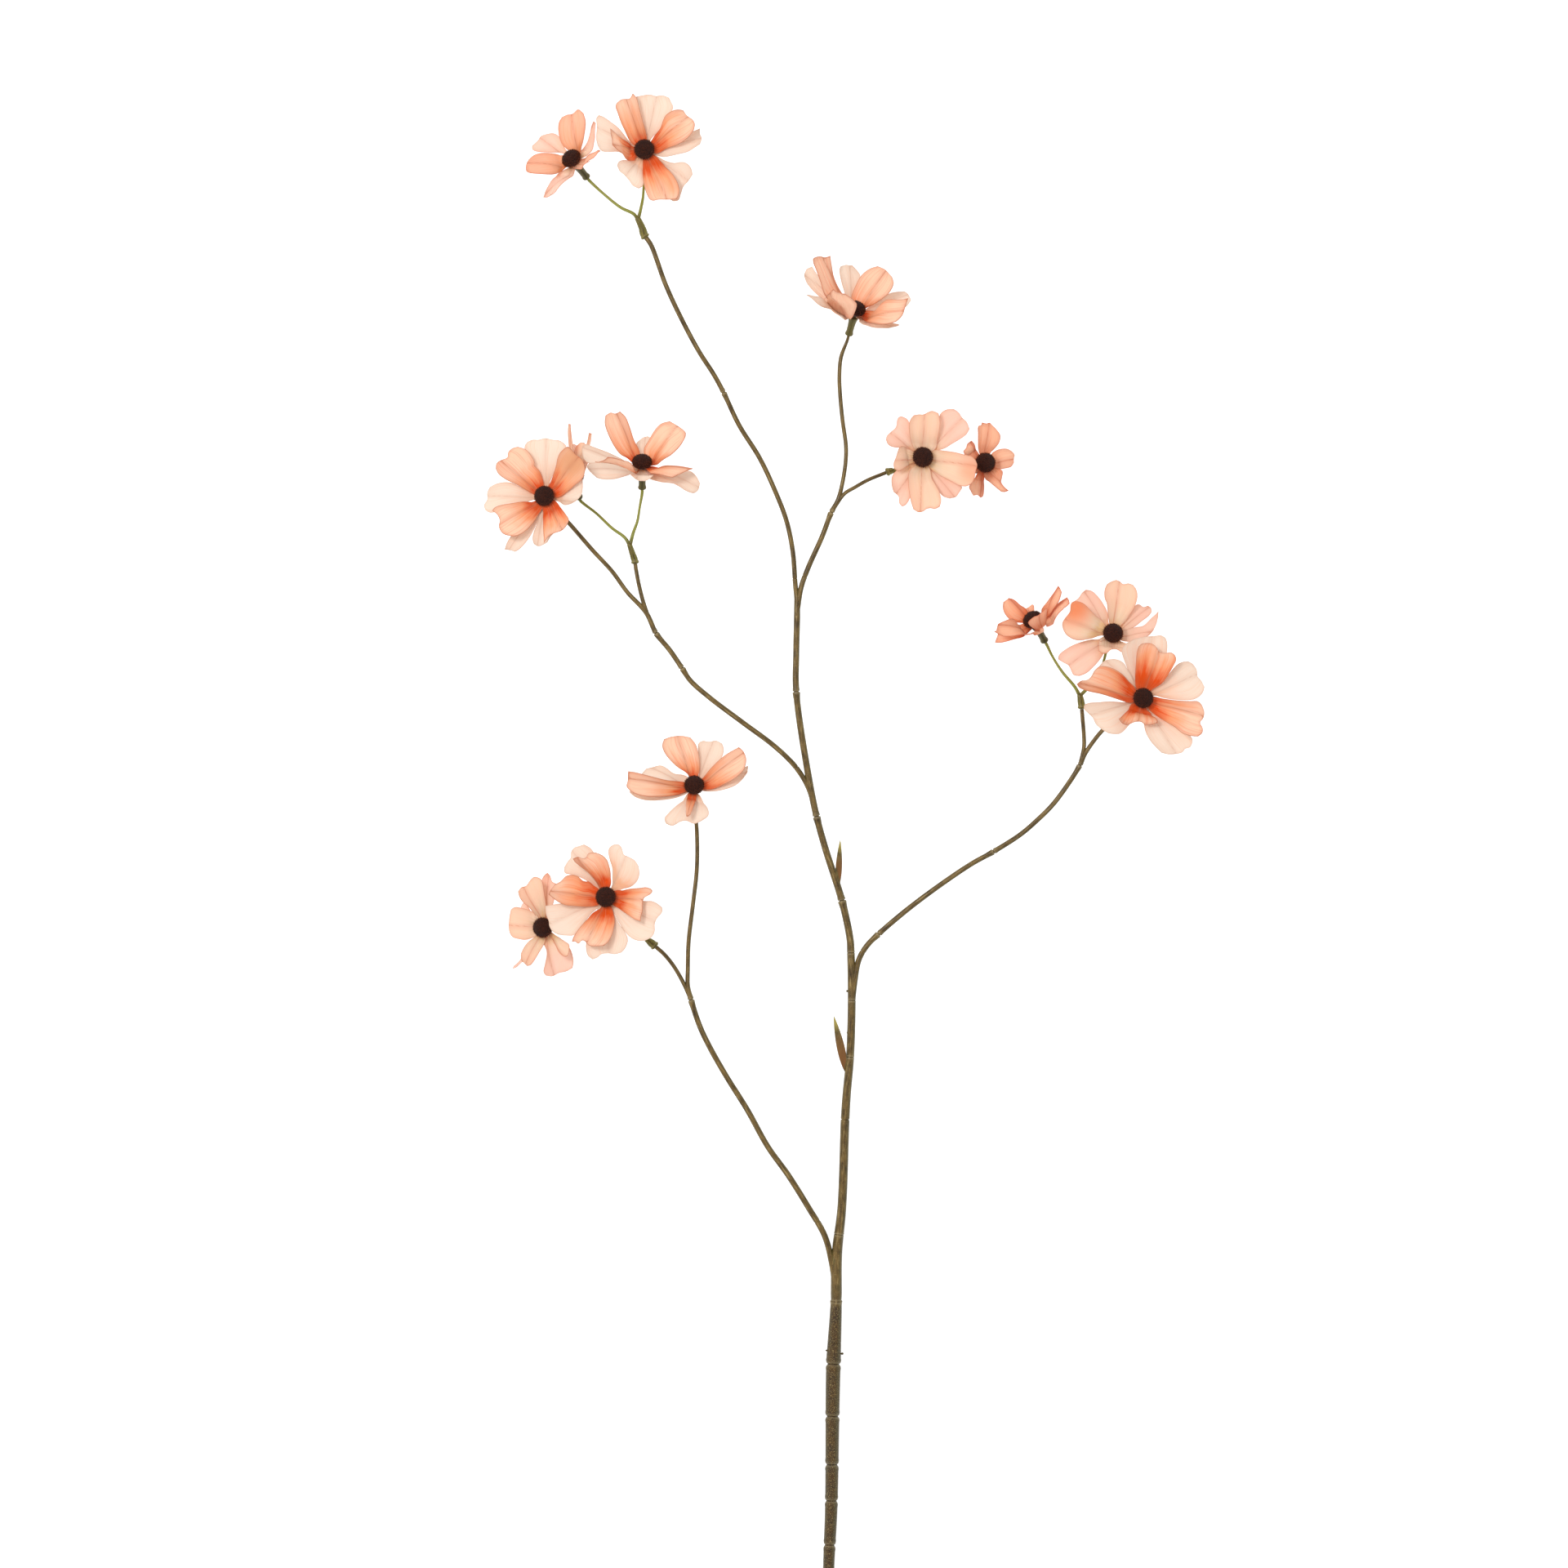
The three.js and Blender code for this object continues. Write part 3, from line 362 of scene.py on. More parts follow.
def nub(px, py, z, radius, stretch=(1, 1, 1)):
    """A small pip left by the mould on a stem."""
    bpy.ops.mesh.primitive_ico_sphere_add(subdivisions=2, radius=radius * MM, location=spot(px, py, z))
    pip = bpy.context.object
    pip.scale = stretch
    bpy.ops.object.transform_apply(location=True, rotation=True, scale=True)
    bpy.ops.object.select_all(action="DESELECT")
    return pip


def lined(piece, *lines):
    """Keeps where each vertex lies on its stem: millimetres along it, and its place across in radii."""
    stations = [(point, radius, run) for line in lines for point, radius, run in zip(*line)]
    ways = []
    for points, _, _ in lines:
        ways += [(b - a).normalized() for a, b in zip(points, points[1:])]
        ways.append(ways[-1])
    tree = kdtree.KDTree(len(stations))
    for i, (point, _, _) in enumerate(stations):
        tree.insert(point, i)
    tree.balance()
    runs, flanks, crests = [], [], []
    for vertex in piece.data.vertices:
        _, i, _ = tree.find(vertex.co)
        point, radius, run = stations[i]
        side = ways[i].cross(UP).normalized()
        offset = vertex.co - point
        runs.append((run + offset.dot(ways[i])) / MM)
        flanks.append(offset.dot(side) / radius)
        crests.append(offset.dot(side.cross(ways[i])) / radius)
    for label, values in (("run", runs), ("flank", flanks), ("crest", crests)):
        piece.data.attributes.new(label, "FLOAT", "POINT").data.foreach_set("value", values)
    return piece


def ringed(piece, stem_width=5 * MM):
    """Marks a piece where its rings are: 1 on a rim, where a highlight is painted, -1 in a groove, where
    shade is painted, 0 elsewhere.
    """
    def rim_light_groove_shade(place):
        for middle, way in ring_places:
            offset = place - middle
            along = abs(offset.dot(way))
            if along < RING_REACH and offset.length < stem_width:
                return -1 if along < GROOVE_HALF else 1 - along / RING_REACH
        return 0
    painted(piece, "ring", rim_light_groove_shade)
    return piece


def moulded_plastic(name, body, other, flank_shade, streaks=0.5):
    """Moulded plastic with streaks, blotches and a glossy skin: three colours, three more that the
    attribute "other" mixes in, and a colour painted on the flanks as their shade and reflection;
    the attribute "pebble" roughens it, "ring" paints a highlight on rims and shade in grooves."""
    material, tree, shader, place = new_material(name, roughness=0.4)
    round_stem = tree.nodes.new("ShaderNodeCombineXYZ")
    for axis_name, label, scale in (("X", "flank", 1.5), ("Y", "crest", 1.5), ("Z", "run", 0.11)):
        tree.links.new(sums(tree, "MULTIPLY", attribute(tree, label), scale), round_stem.inputs[axis_name])
    grain = noise(tree, round_stem.outputs["Vector"], scale=1.6, detail=4.0)
    blotches = noise(tree, place, scale=170.0, detail=4.0)
    specks = noise(tree, place, scale=2500.0, detail=1.5, roughness=0.6)
    pebble = attribute(tree, "pebble")
    painted_coats = []
    for (shade, middle, light), pattern in ((body, grain), (other, specks)):
        coat = ramp(tree, pattern, (0.38, shade), (0.54, middle), (0.76, light))
        worn = ramp(tree, blotches, (0.36, shade), (0.62, middle))
        coat = mixed(tree, streaks, worn, coat)
        flecks = ramp(tree, specks, (0.62, grey(0.0)), (0.74, grey(0.45)))
        painted_coats.append(mixed(tree, flecks, coat, light))
    tint = mixed(tree, attribute(tree, "other"), *painted_coats)
    # Painted shade and reflection: both flanks of a stem are mixed towards the flank colour.
    flank = sums(tree, "ADD", sums(tree, "MULTIPLY", attribute(tree, "flank"), 0.5), 0.5)
    painted_flank_shade = ramp(tree, flank, (0.1, grey(0.35)), (0.28, grey(0.0)), (0.62, grey(0.0)), (0.82, grey(0.5)))
    tint = mixed(tree, painted_flank_shade, tint, flank_shade)
    green = attribute(tree, "green")
    tint = mixed(tree, green, tint, colour(168, 152, 74))
    tint = mixed(tree, sums(tree, "MULTIPLY", green, -1.0), tint, colour(118, 74, 32))
    # Painted highlight on the rims of the rings and painted shade in their grooves.
    ring = attribute(tree, "ring")
    tint = mixed(tree, sums(tree, "MULTIPLY", ring, 0.3), tint, colour(206, 190, 150))
    tint = mixed(tree, sums(tree, "MULTIPLY", ring, -0.3), tint, colour(38, 27, 12))
    tree.links.new(tint, shader.inputs["Base Color"])
    tree.links.new(ramp(tree, blotches, (0.3, grey(0.26)), (0.7, grey(0.46))), shader.inputs["Roughness"])
    beads = sums(tree, "MULTIPLY", specks, sums(tree, "ADD", sums(tree, "MULTIPLY", pebble, 2.4), 0.3))
    relief = sums(tree, "ADD", beads, sums(tree, "MULTIPLY", grain, 0.5))
    bump(tree, shader, relief, depth=0.16 * MM)
    shader.inputs["Specular IOR Level"].default_value = 0.3
    return material


def necked(name, line, start, end, marks=(), neck=0.9, open_end=False):
    """A stem whose start is a narrower neck that closes the joint with the piece before it."""
    socket = [(0.0, neck), (0.26, neck), (0.3, 0.96), (0.7, 1.0)]
    return tube(name, line, start + NECK_CLEAR, end, [*marks], (False, not open_end), joint=(start, socket))


main_line = line_of(MAIN_LINE)
base_top = nearest(main_line, 1021, 1650)
trunk_joint = nearest(main_line, 1035, 1372)
WAISTS = ((1018, 1897), (1018, 1843), (1018, 1798), (1018, 1738), (1021, 1672))
base_marks = [(nearest(main_line, *px), NODE_WAIST) for px in WAISTS]
base = tube("base_sleeve", main_line, 0.0, base_top, base_marks, (True, False))
lugs = [
    nub(1012.5, 1656, 4.0, radius=0.55, stretch=(1.3, 0.8, 1)),
    nub(1031.5, 1660, 3.8, radius=0.6, stretch=(1.2, 1, 1)),
]
base = fused("base_sleeve", base, *lugs)
bpy.ops.mesh.primitive_cylinder_add(
    vertices=ROUND_SIDES,
    radius=WIRE_RADIUS + GAP / 2,
    depth=2 * (wire_run.length + MM),
    location=wire_start,
    rotation=wire_run.to_track_quat("Z", "Y").to_euler(),
)
combined(base, bpy.context.object, "DIFFERENCE")
for vertex in base.data.vertices:
    vertex.co.z = max(vertex.co.z, 0.0)
PEBBLED_COAT = (colour(34, 22, 4), colour(82, 56, 13), colour(206, 184, 124))
BARE_COAT = (colour(54, 38, 14), colour(114, 90, 44), colour(188, 166, 114))
# Its last colour is painted shade and reflection on the stems' flanks.
stem_plastic = moulded_plastic("stem plastic", BARE_COAT, PEBBLED_COAT, colour(74, 70, 34), streaks=0.5)
for label in ("pebble", "other"):
    painted(base, label, lambda place: 1)
settle(lined(ringed(base), main_line), "stem_base", "stem", stem_plastic)

# Main stem: olive brown plastic that goes on from the base sleeve. It carries the stub of the low left
# branch, and above its first lip its skin is smoother than the sleeve's.
LOW_LEFT_LINE = [
    (1024, 1590, 4.8, 7), (1019, 1550, 6.3, 7.5), (1010, 1515, 7.5, 7.5), (990, 1480, 8.6, 7.5),
    (965, 1440, 9.6, 7.5), (940, 1405, 10.4, 7.2), (915, 1360, 11.2, 7.2), (890, 1320, 11.8, 7),
    (870, 1285, 12.2, 7), (857, 1258, 12.4, 7), (846, 1225, 12.5, 7), (842, 1208, 12.5, 5.6),
    (842, 1187, 12.4, 5.3), (843, 1153, 12.2, 5.3), (848, 1110, 11.6, 5.3), (853, 1064, 10.6, 5.2),
    (853, 1018, 10, 5),
]
RIGHT_LINE = [
    (1043, 1235, 14.2, 7.5), (1047, 1200, 14.8, 7.2), (1052, 1175, 15, 7), (1062, 1158, 15, 7),
    (1076, 1144, 14.9, 7), (1110, 1115, 14.5, 6.8), (1150, 1085, 14, 6.6), (1190, 1058, 13.6, 6.4),
    (1217, 1043, 13.3, 6.4), (1250, 1022, 13, 6.2), (1270, 1005, 12.8, 6.2), (1290, 985, 12.6, 6.2),
    (1310, 958, 12.5, 6.2), (1323, 937, 12.5, 6.2), (1330, 922, 12.6, 5.4), (1350, 895, 13.4, 5.2),
    (1372, 876, 16.5, 5),
]
MIDDLE_LEFT_LINE = [
    (1000, 1000, 16.1, 6.4), (990, 965, 16, 6.4), (975, 940, 15.8, 6.4), (950, 915, 15.5, 6.4),
    (910, 885, 15, 6.4), (870, 855, 14.5, 6.4), (845, 833, 14.2, 6.4), (835, 818, 14.1, 6.4),
    (820, 796, 14, 6.4), (803, 775, 13.9, 6.4), (791, 750, 13.8, 6), (768, 725, 13.8, 5.4),
    (749, 699, 13.9, 5.4), (725, 673, 14.4, 5.3), (698, 642, 16, 5.2), (684, 627, 18.5, 5),
]
TOP_LEFT_LINE = [
    (976, 753, 15.4, 6), (975.6, 735, 15.3, 6), (973.7, 713, 15.1, 6), (970.8, 675, 14.9, 6),
    (963, 637, 14.8, 6), (948, 598, 14.8, 6), (930, 560, 15, 6), (905, 520, 15.4, 6),
    (886, 480, 15.8, 6), (874, 458, 16, 6), (856, 430, 16.1, 6), (835, 391, 15.9, 6),
    (815, 348, 15.3, 6), (797, 299, 14.2, 6), (791, 290, 14, 6),
]
TOP_RIGHT_LINE = [
    (977, 745, 15.3, 6), (981, 719, 15.2, 6.5), (990, 694, 15.1, 6.5), (1007, 656, 14.8, 6.4),
    (1018, 627, 14.4, 6.4), (1026, 612, 14.2, 5.6), (1031, 594, 14, 5.1), (1035.5, 566, 13.6, 5.1),
    (1036, 545, 13, 5.1), (1032, 515, 12.1, 5.1), (1029, 484, 11.2, 5.1), (1028, 460, 10.3, 5),
    (1030, 436, 9.4, 5),
]
CALYX_LENGTH = 10.5 * MM
DISC_MIDDLE = 4.4 * MM
TENON = 3 * MM
TWIG_APPROACH = 3 * MM
STALK_APPROACH = 2.2 * MM
# Blossoms: the middle of the brown disc in the photograph, its height in millimetres, the way the blossom
# faces in degrees anticlockwise from the photograph's right, and how far it tips from straight up.
FLOWERS = {
    "01": ((699, 193), 20, 130, 52),
    "02": ((789, 183), 27, 100, 12),
    "03": ((1048, 377), 18, 75, 60),
    "04": ((1130, 560), 30, 60, 10),
    "05": ((1207, 566), 20, 40, 20),
    "06": ((667, 608), 39, 135, 15),
    "07": ((786, 565), 21, 90, 60),
    "08": ((702, 582), 13, 92, 60),
    "09": ((1265, 758), 14, 120, 55),
    "10": ((1363, 775), 25, 70, 25),
    "11": ((1399, 855), 39, 45, 15),
    "12": ((850, 961), 25, 90, 30),
    "13": ((742, 1098), 34, 150, 10),
    "14": ((664, 1136), 20, 190, 20),
}
# The calyx of the hidden blossom 08 leans to its stalk: the pixel of its foot and its height.
LEANING_FEET = {"08": (706, 602, 5.6)}


def aimed(tilt, turn):
    """The way that is tilted from straight up, and turned anticlockwise from X."""
    return Vector((math.sin(tilt) * math.cos(turn), math.sin(tilt) * math.sin(turn), math.cos(tilt)))


def axis_of(name):
    """The way a blossom looks, and its seat: the underside of its back petals."""
    disc, height, facing, tip = FLOWERS[name]
    axis = aimed(math.radians(tip), math.radians(facing))
    return axis, spot(*disc, height) - axis * DISC_MIDDLE


def calyx_of(name):
    """The way a calyx runs and its seat."""
    axis, seat = axis_of(name)
    if name in LEANING_FEET:
        axis = (seat - spot(*LEANING_FEET[name])).normalized()
    return axis, seat


def foot_of(name, approach):
    """The last points of a stalk that runs into a blossom's calyx."""
    axis, seat = calyx_of(name)
    foot = -GAP - CALYX_LENGTH
    return [seat + axis * (foot - approach), seat + axis * (foot - GAP), seat + axis * (foot + TENON)]


low_left_line = line_of(LOW_LEFT_LINE, tail=foot_of("12", TWIG_APPROACH))
right_line = line_of(RIGHT_LINE, tail=foot_of("11", TWIG_APPROACH))
middle_left_line = line_of(MIDDLE_LEFT_LINE, tail=foot_of("06", TWIG_APPROACH))
top_left_line = line_of(TOP_LEFT_LINE)
top_right_line = line_of(TOP_RIGHT_LINE, tail=foot_of("03", TWIG_APPROACH))

low_left_joint = nearest(low_left_line, 1001, 1499)
SLEEVE_LIP = [(-0.5, 1.06), (0.0, 1.1), (0.4, 1.06), (0.5, 0.94), (1.5, 0.96), (4.0, 1.0)]
main_stem = necked(
    "main_stem",
    main_line,
    base_top,
    trunk_joint,
    [(nearest(main_line, 1024, 1597), SLEEVE_LIP), (nearest(main_line, 1029, 1515), RING_GROOVE)],
    neck=1.0,
)
low_left_stub = tube("low_left_stub", low_left_line, 0.0, low_left_joint)
pip = nub(1016.5, 1626, 4.2, radius=0.45, stretch=(1, 2.4, 1))
main_stem = fused("main_stem", main_stem, low_left_stub, pip)
skin_end = spot(1024, 1600).y
for label in ("pebble", "other"):
    painted(main_stem, label, lambda place: min(1, max(0, (skin_end - place.y) / MM)))
settle(lined(ringed(main_stem), main_line, low_left_line), "stem_main", "stem", stem_plastic)

# Upper stem: the same plastic, with four forks' stubs, ring joints and two small pointed bract leaves
# moulded with it, brown at their roots and yellow green at their tips.
right_joint = nearest(right_line, 1057, 1166)
middle_left_joint = nearest(middle_left_line, 975, 940)
top_left_joint = nearest(top_left_line, 973.5, 708)
top_right_joint = nearest(top_right_line, 986, 705)
LEAF_THICKNESS = 0.45 * MM
LEAF_FOLD = 0.35 * MM
# A place is on a leaf when it is at least this far from the stem's middle and this near the leaf's.
LEAF_CLEAR = 2.1 * MM
LEAF_REACH = 3 * MM


def bract(root, tip, width, lift):
    """A narrow pointed leaf, folded along its middle, from its root to its tip."""
    bpy.ops.mesh.primitive_grid_add(x_subdivisions=6, y_subdivisions=14, size=2)
    leaf = bpy.context.object
    start, reach = spot(*root), spot(*tip) - spot(*root)
    sideways = Vector((reach.y, -reach.x, 0)).normalized()
    up = sideways.cross(reach).normalized()
    half = width * PIXEL / 2
    for vertex in leaf.data.vertices:
        across, along = vertex.co.x, (vertex.co.y + 1) / 2
        swell = 1.02 * math.sin(math.pi * (0.05 + 0.95 * along) ** 0.8) ** 0.8 + 0.05 * (1 - along)
        rise = lift * MM * math.sin(math.pi * along) + LEAF_FOLD * abs(across) * (1 - along)
        vertex.co = start + reach * along + sideways * half * across * swell + up * rise
    thick = leaf.modifiers.new("leaf thickness", "SOLIDIFY")
    thick.thickness = LEAF_THICKNESS
    thick.offset = 1.0
    bpy.ops.object.modifier_apply(modifier=thick.name)
    bpy.ops.object.select_all(action="DESELECT")
    return leaf


# Each leaf: its root and tip, its width in pixels and its lift in millimetres.
BRACTS = [
    ((1036, 1312, 12.8), (1021, 1244, 15.5), 9.5, 0.8), ((1026, 1086, 15.8), (1029, 1028, 18.5), 7.5, 0.5),
]
upper_marks = [(nearest(main_line, *px), COLLAR) for px in ((1031, 1103), (1000, 1000), (975, 847))]
upper_marks += [(nearest(main_line, *px), RING_GROOVE) for px in ((1041, 1295), (1042, 1226), (1042, 1167))]
upper_stem = necked("upper_stem", main_line, trunk_joint, main_line[2][-1], upper_marks, 0.8)
STUBS = (
    ("right", right_line, right_joint), ("middle_left", middle_left_line, middle_left_joint),
    ("top_left", top_left_line, top_left_joint), ("top_right", top_right_line, top_right_joint),
)
upper_stem = fused(
    "upper_stem",
    upper_stem,
    *(tube(f"{fork}_stub", line, 0.0, joint) for fork, line, joint in STUBS),
    *(bract(*leaf) for leaf in BRACTS),
    nub(1037.4, 1214, 14.6, radius=0.5, stretch=(1, 1.2, 1)),
    nub(1038, 1265, 13.8, radius=0.5, stretch=(1, 1.3, 1)),
)


def leafy(place):
    """How green the plastic is: 0 on the stem, below 0 (brown) on a leaf's root, above 0 at its tip."""
    gap = min((point.xy - place.xy).length for point in main_line[0])
    for root, tip, *_ in BRACTS:
        start, reach = spot(*root), spot(*tip) - spot(*root)
        along = (place - start).dot(reach) / reach.length_squared
        aside = (place - start - reach * along).length
        if 0 < along < 1.1 and gap > LEAF_CLEAR and aside < LEAF_REACH:
            return min(0.8, 2.6 * along ** 3 - 0.9)
    return 0


painted(upper_stem, "green", leafy)
upper_lines = (main_line, *(line for _, line, _ in STUBS))
settle(lined(ringed(upper_stem, stem_width=2.4 * MM), *upper_lines), "stem_upper", "stem", stem_plastic)

# Side branches: five slender plastic stems, each necked where it leaves its stub. All but the top left
# one carry a twig that ends at the sleeve of a pair of pedicels.
LOW_LEFT_TWIG = [
    (846, 1225, 12.5, 5.5), (838, 1207, 12.4, 5.2), (825, 1184, 12, 5), (813, 1169, 11.8, 5),
    (803, 1160, 11.7, 5),
]
RIGHT_TWIG = [
    (1323, 937, 12.5, 5), (1328, 915, 12.4, 5), (1328, 900, 12.2, 5), (1326, 875, 12, 5),
    (1325.5, 868, 12, 5),
]
MIDDLE_LEFT_TWIG = [
    (803, 775, 13.9, 5.5), (791, 748, 13.7, 5.3), (783, 720, 13.2, 5), (778.5, 697, 12.8, 5),
    (777.5, 690, 12.7, 5),
]
TOP_RIGHT_TWIG = [
    (1021, 622, 14.3, 5), (1034, 604, 14, 4.7), (1047, 596, 13.7, 4.6), (1063, 587, 13.3, 4.6),
    (1080, 580, 13, 4.6), (1085, 578, 12.9, 4.6),
]
# Each branch: its line, where it leaves its stub, its twig's rows and the pixels of its collars.
BRANCHES = {
    "low_left": (low_left_line, low_left_joint, LOW_LEFT_TWIG, [(846, 1225)]),
    "right": (right_line, right_joint, RIGHT_TWIG, [(1076, 1144), (1217, 1043), (1323, 937)]),
    "middle_left": (middle_left_line, middle_left_joint, MIDDLE_LEFT_TWIG, [(835, 818), (803, 775)]),
    "top_left": (top_left_line, top_left_joint, None, [(886, 480)]),
    "top_right": (top_right_line, top_right_joint, TOP_RIGHT_TWIG, [(1018, 627)]),
}
for fork, (line, joint, twig_rows, collars) in BRANCHES.items():
    marks = [(nearest(line, *px), COLLAR) for px in collars]
    parts = [necked(f"{fork}_branch", line, joint, line[2][-1], marks)]
    lines = [line]
    if twig_rows:
        twig = line_of(twig_rows)
        parts.append(tube(f"{fork}_twig", twig, 0.0, twig[2][-1]))
        lines.append(twig)
    side_branch = fused(f"{fork}_branch", *parts)
    settle(lined(ringed(side_branch), *lines), f"branch_{fork}", "stem", stem_plastic)

# Calyxes: dark olive plastic sleeves, each flared to a cup under its blossom, with a small collar
# at the foot. Four of them stand at the ends of branches.
CALYX_GREEN = {"03": 0.1}
# Heights over the foot and radii, both in millimetres.
CALYX_OUTLINE = [(0.35, 1.95), (1.0, 2.05), (1.6, 1.85), (2.4, 1.7), (5.0, 1.75), (7.3, 1.9), (8.8, 2.2),
                 (9.9, 2.5), (10.3, 2.45)]


def cup(name, blossom):
    """A calyx from its foot to its mouth, which is cut along the underside of the blossom."""
    axis, seat = calyx_of(blossom)
    foot = seat - axis * (GAP + CALYX_LENGTH)
    line = ([foot, foot + axis * CALYX_LENGTH], [MM, MM], [0.0, CALYX_LENGTH])
    sleeve = fused(name, tube(name, line, 0.0, CALYX_LENGTH, [(0.0, CALYX_OUTLINE)], (False, False)))
    slant, _ = axis_of(blossom)
    for vertex in sleeve.data.vertices:
        vertex.co -= slant * max(0.0, (vertex.co - seat).dot(slant) + GAP)
    painted(sleeve, "green", lambda place: CALYX_GREEN.get(blossom, 0.0))
    return lined(sleeve, line)


CALYX_COAT = (colour(44, 38, 14), colour(74, 66, 27), colour(124, 112, 56))
# Its last colour is painted shade and reflection on the calyxes' flanks.
calyx_plastic = moulded_plastic("calyx plastic", CALYX_COAT, CALYX_COAT, colour(92, 88, 44))
for name in ("03", "06", "11", "12"):
    settle(cup(f"cup_{name}", name), f"calyx_{name}", "calyx", calyx_plastic)

# Pedicels: a sleeve on the end of its carrier that parts in two thin yellow green stalks. The two dark
# calyxes at their ends are pieces of their own here, because their look is another.
PAIRS = {
    "01_02": (top_left_line, [(786, 278, 14.6, 9), (780, 265, 15, 7)], {
        "01": [(781, 268, 15, 4.6), (776, 261, 15, 4.2), (760, 253, 14.4, 3.8), (740, 237, 12, 3.4)],
        "02": [(781, 268, 15, 4.6), (784, 256, 14.8, 4), (787, 240, 13, 3.4), (788, 222, 10.4, 3)],
    }),
    "04_05": (line_of(TOP_RIGHT_TWIG), [(1089, 576.5, 12.7, 8), (1094, 575, 12.5, 7)], {
        "04": [(1092, 575.5, 12.5, 4.6), (1102, 573, 11.8, 3.8), (1116, 569, 10.6, 3.2)],
        "05": [(1092, 575.5, 12.5, 4.6), (1108, 581, 10.4, 3.8), (1140, 588, 7, 3.4), (1176, 584, 4.2, 3)],
    }),
    "07_08": (line_of(MIDDLE_LEFT_TWIG), [(774, 677, 12.9, 7.6), (770, 665, 13, 6)], {
        "07": [(771, 668, 13, 4.6), (775, 652, 13, 4), (780, 638, 12.6, 3.4), (783, 620, 12.2, 3)],
        "08": [(771, 668, 13, 4.6), (765, 658, 12.6, 4), (749, 646, 10.6, 3.6), (730, 628, 7, 3.2)],
    }),
    "09_10": (line_of(RIGHT_TWIG), [(1324.5, 859, 12, 8), (1323, 850, 12, 7)], {
        "09": [(1323, 852, 12, 4.6), (1317, 841, 11.8, 4), (1302, 823, 10.6, 3.6), (1290, 804, 7.6, 3)],
        "10": [(1323, 852, 12, 4.6), (1333, 842, 12, 4), (1345, 828, 11, 3.4), (1352, 811, 9, 3)],
    }),
    "13_14": (line_of(LOW_LEFT_TWIG), [(797, 1155, 11.6, 9), (791, 1150, 11.5, 7)], {
        "13": [(793, 1152, 11.5, 4.6), (781, 1142, 11.6, 3.8), (764, 1122, 12.6, 3.2)],
        "14": [(793, 1152, 11.5, 4.6), (779, 1143, 9.8, 3.8), (761, 1137, 8.2, 3.6), (734, 1141, 6.2, 3.4),
               (702, 1141, 4.2, 3)],
    }),
}
SLEEVE_STRAIGHT = 1.4 * MM
SLEEVE_COAT = (colour(62, 54, 20), colour(100, 88, 34), colour(166, 154, 74))
STALK_COAT = (colour(112, 114, 42), colour(136, 138, 56), colour(162, 164, 82))
# Painted shade and reflection on the flanks of the pedicels.
STALK_FLANK_SHADE = colour(122, 120, 50)
pedicel_plastic = moulded_plastic("pedicel plastic", SLEEVE_COAT, STALK_COAT, STALK_FLANK_SHADE, streaks=0.6)
TINT_RUN = 3 * MM
SLEEVE_MOUTH = [(0.4, 1.22), (1.1, 1.28), (1.7, 1.08), (2.6, 1.12), (4.4, 1.08)]
for pair, (carrier, sleeve_rows, stalks) in PAIRS.items():
    twig_end = carrier[0][-1]
    onward = (twig_end - carrier[0][-2]).normalized()
    mouth = [twig_end + onward * distance for distance in (NECK_CLEAR, GAP + SLEEVE_STRAIGHT)]
    sleeve_line = line_of(sleeve_rows, lead=mouth)
    sleeve = tube(f"sleeve_{pair}", sleeve_line, 0.0, sleeve_line[2][-1], [(0.0, SLEEVE_MOUTH)])
    parts, stalk_lines = [], []
    for blossom, rows in stalks.items():
        stalk_line = line_of(rows, tail=foot_of(blossom, STALK_APPROACH))
        stalk_lines.append(stalk_line)
        parts.append(tube(f"stalk_{blossom}", stalk_line, 0.0, stalk_line[2][-1]))
    stalk_pair = fused(f"pedicels_{pair}_stalks", sleeve, *parts)
    sleeve_end = sleeve_line[2][-1]
    painted(stalk_pair, "other",
            lambda place: min(1, max(0, ((place - twig_end).length - sleeve_end) / TINT_RUN)))
    stalk_pair = lined(ringed(stalk_pair), sleeve_line, *stalk_lines)
    settle(stalk_pair, f"pedicels_{pair}", "pedicel", pedicel_plastic)
    for blossom in stalks:
        settle(cup(f"cup_{blossom}", blossom), None, "calyx", calyx_plastic)

# Petals: each blossom has two die-cut layers of stiff woven fabric, printed with colour that is deep at
# the root, heat pressed into lengthwise channels, with cut edges that have browned a little.
FABRIC = 0.3 * MM
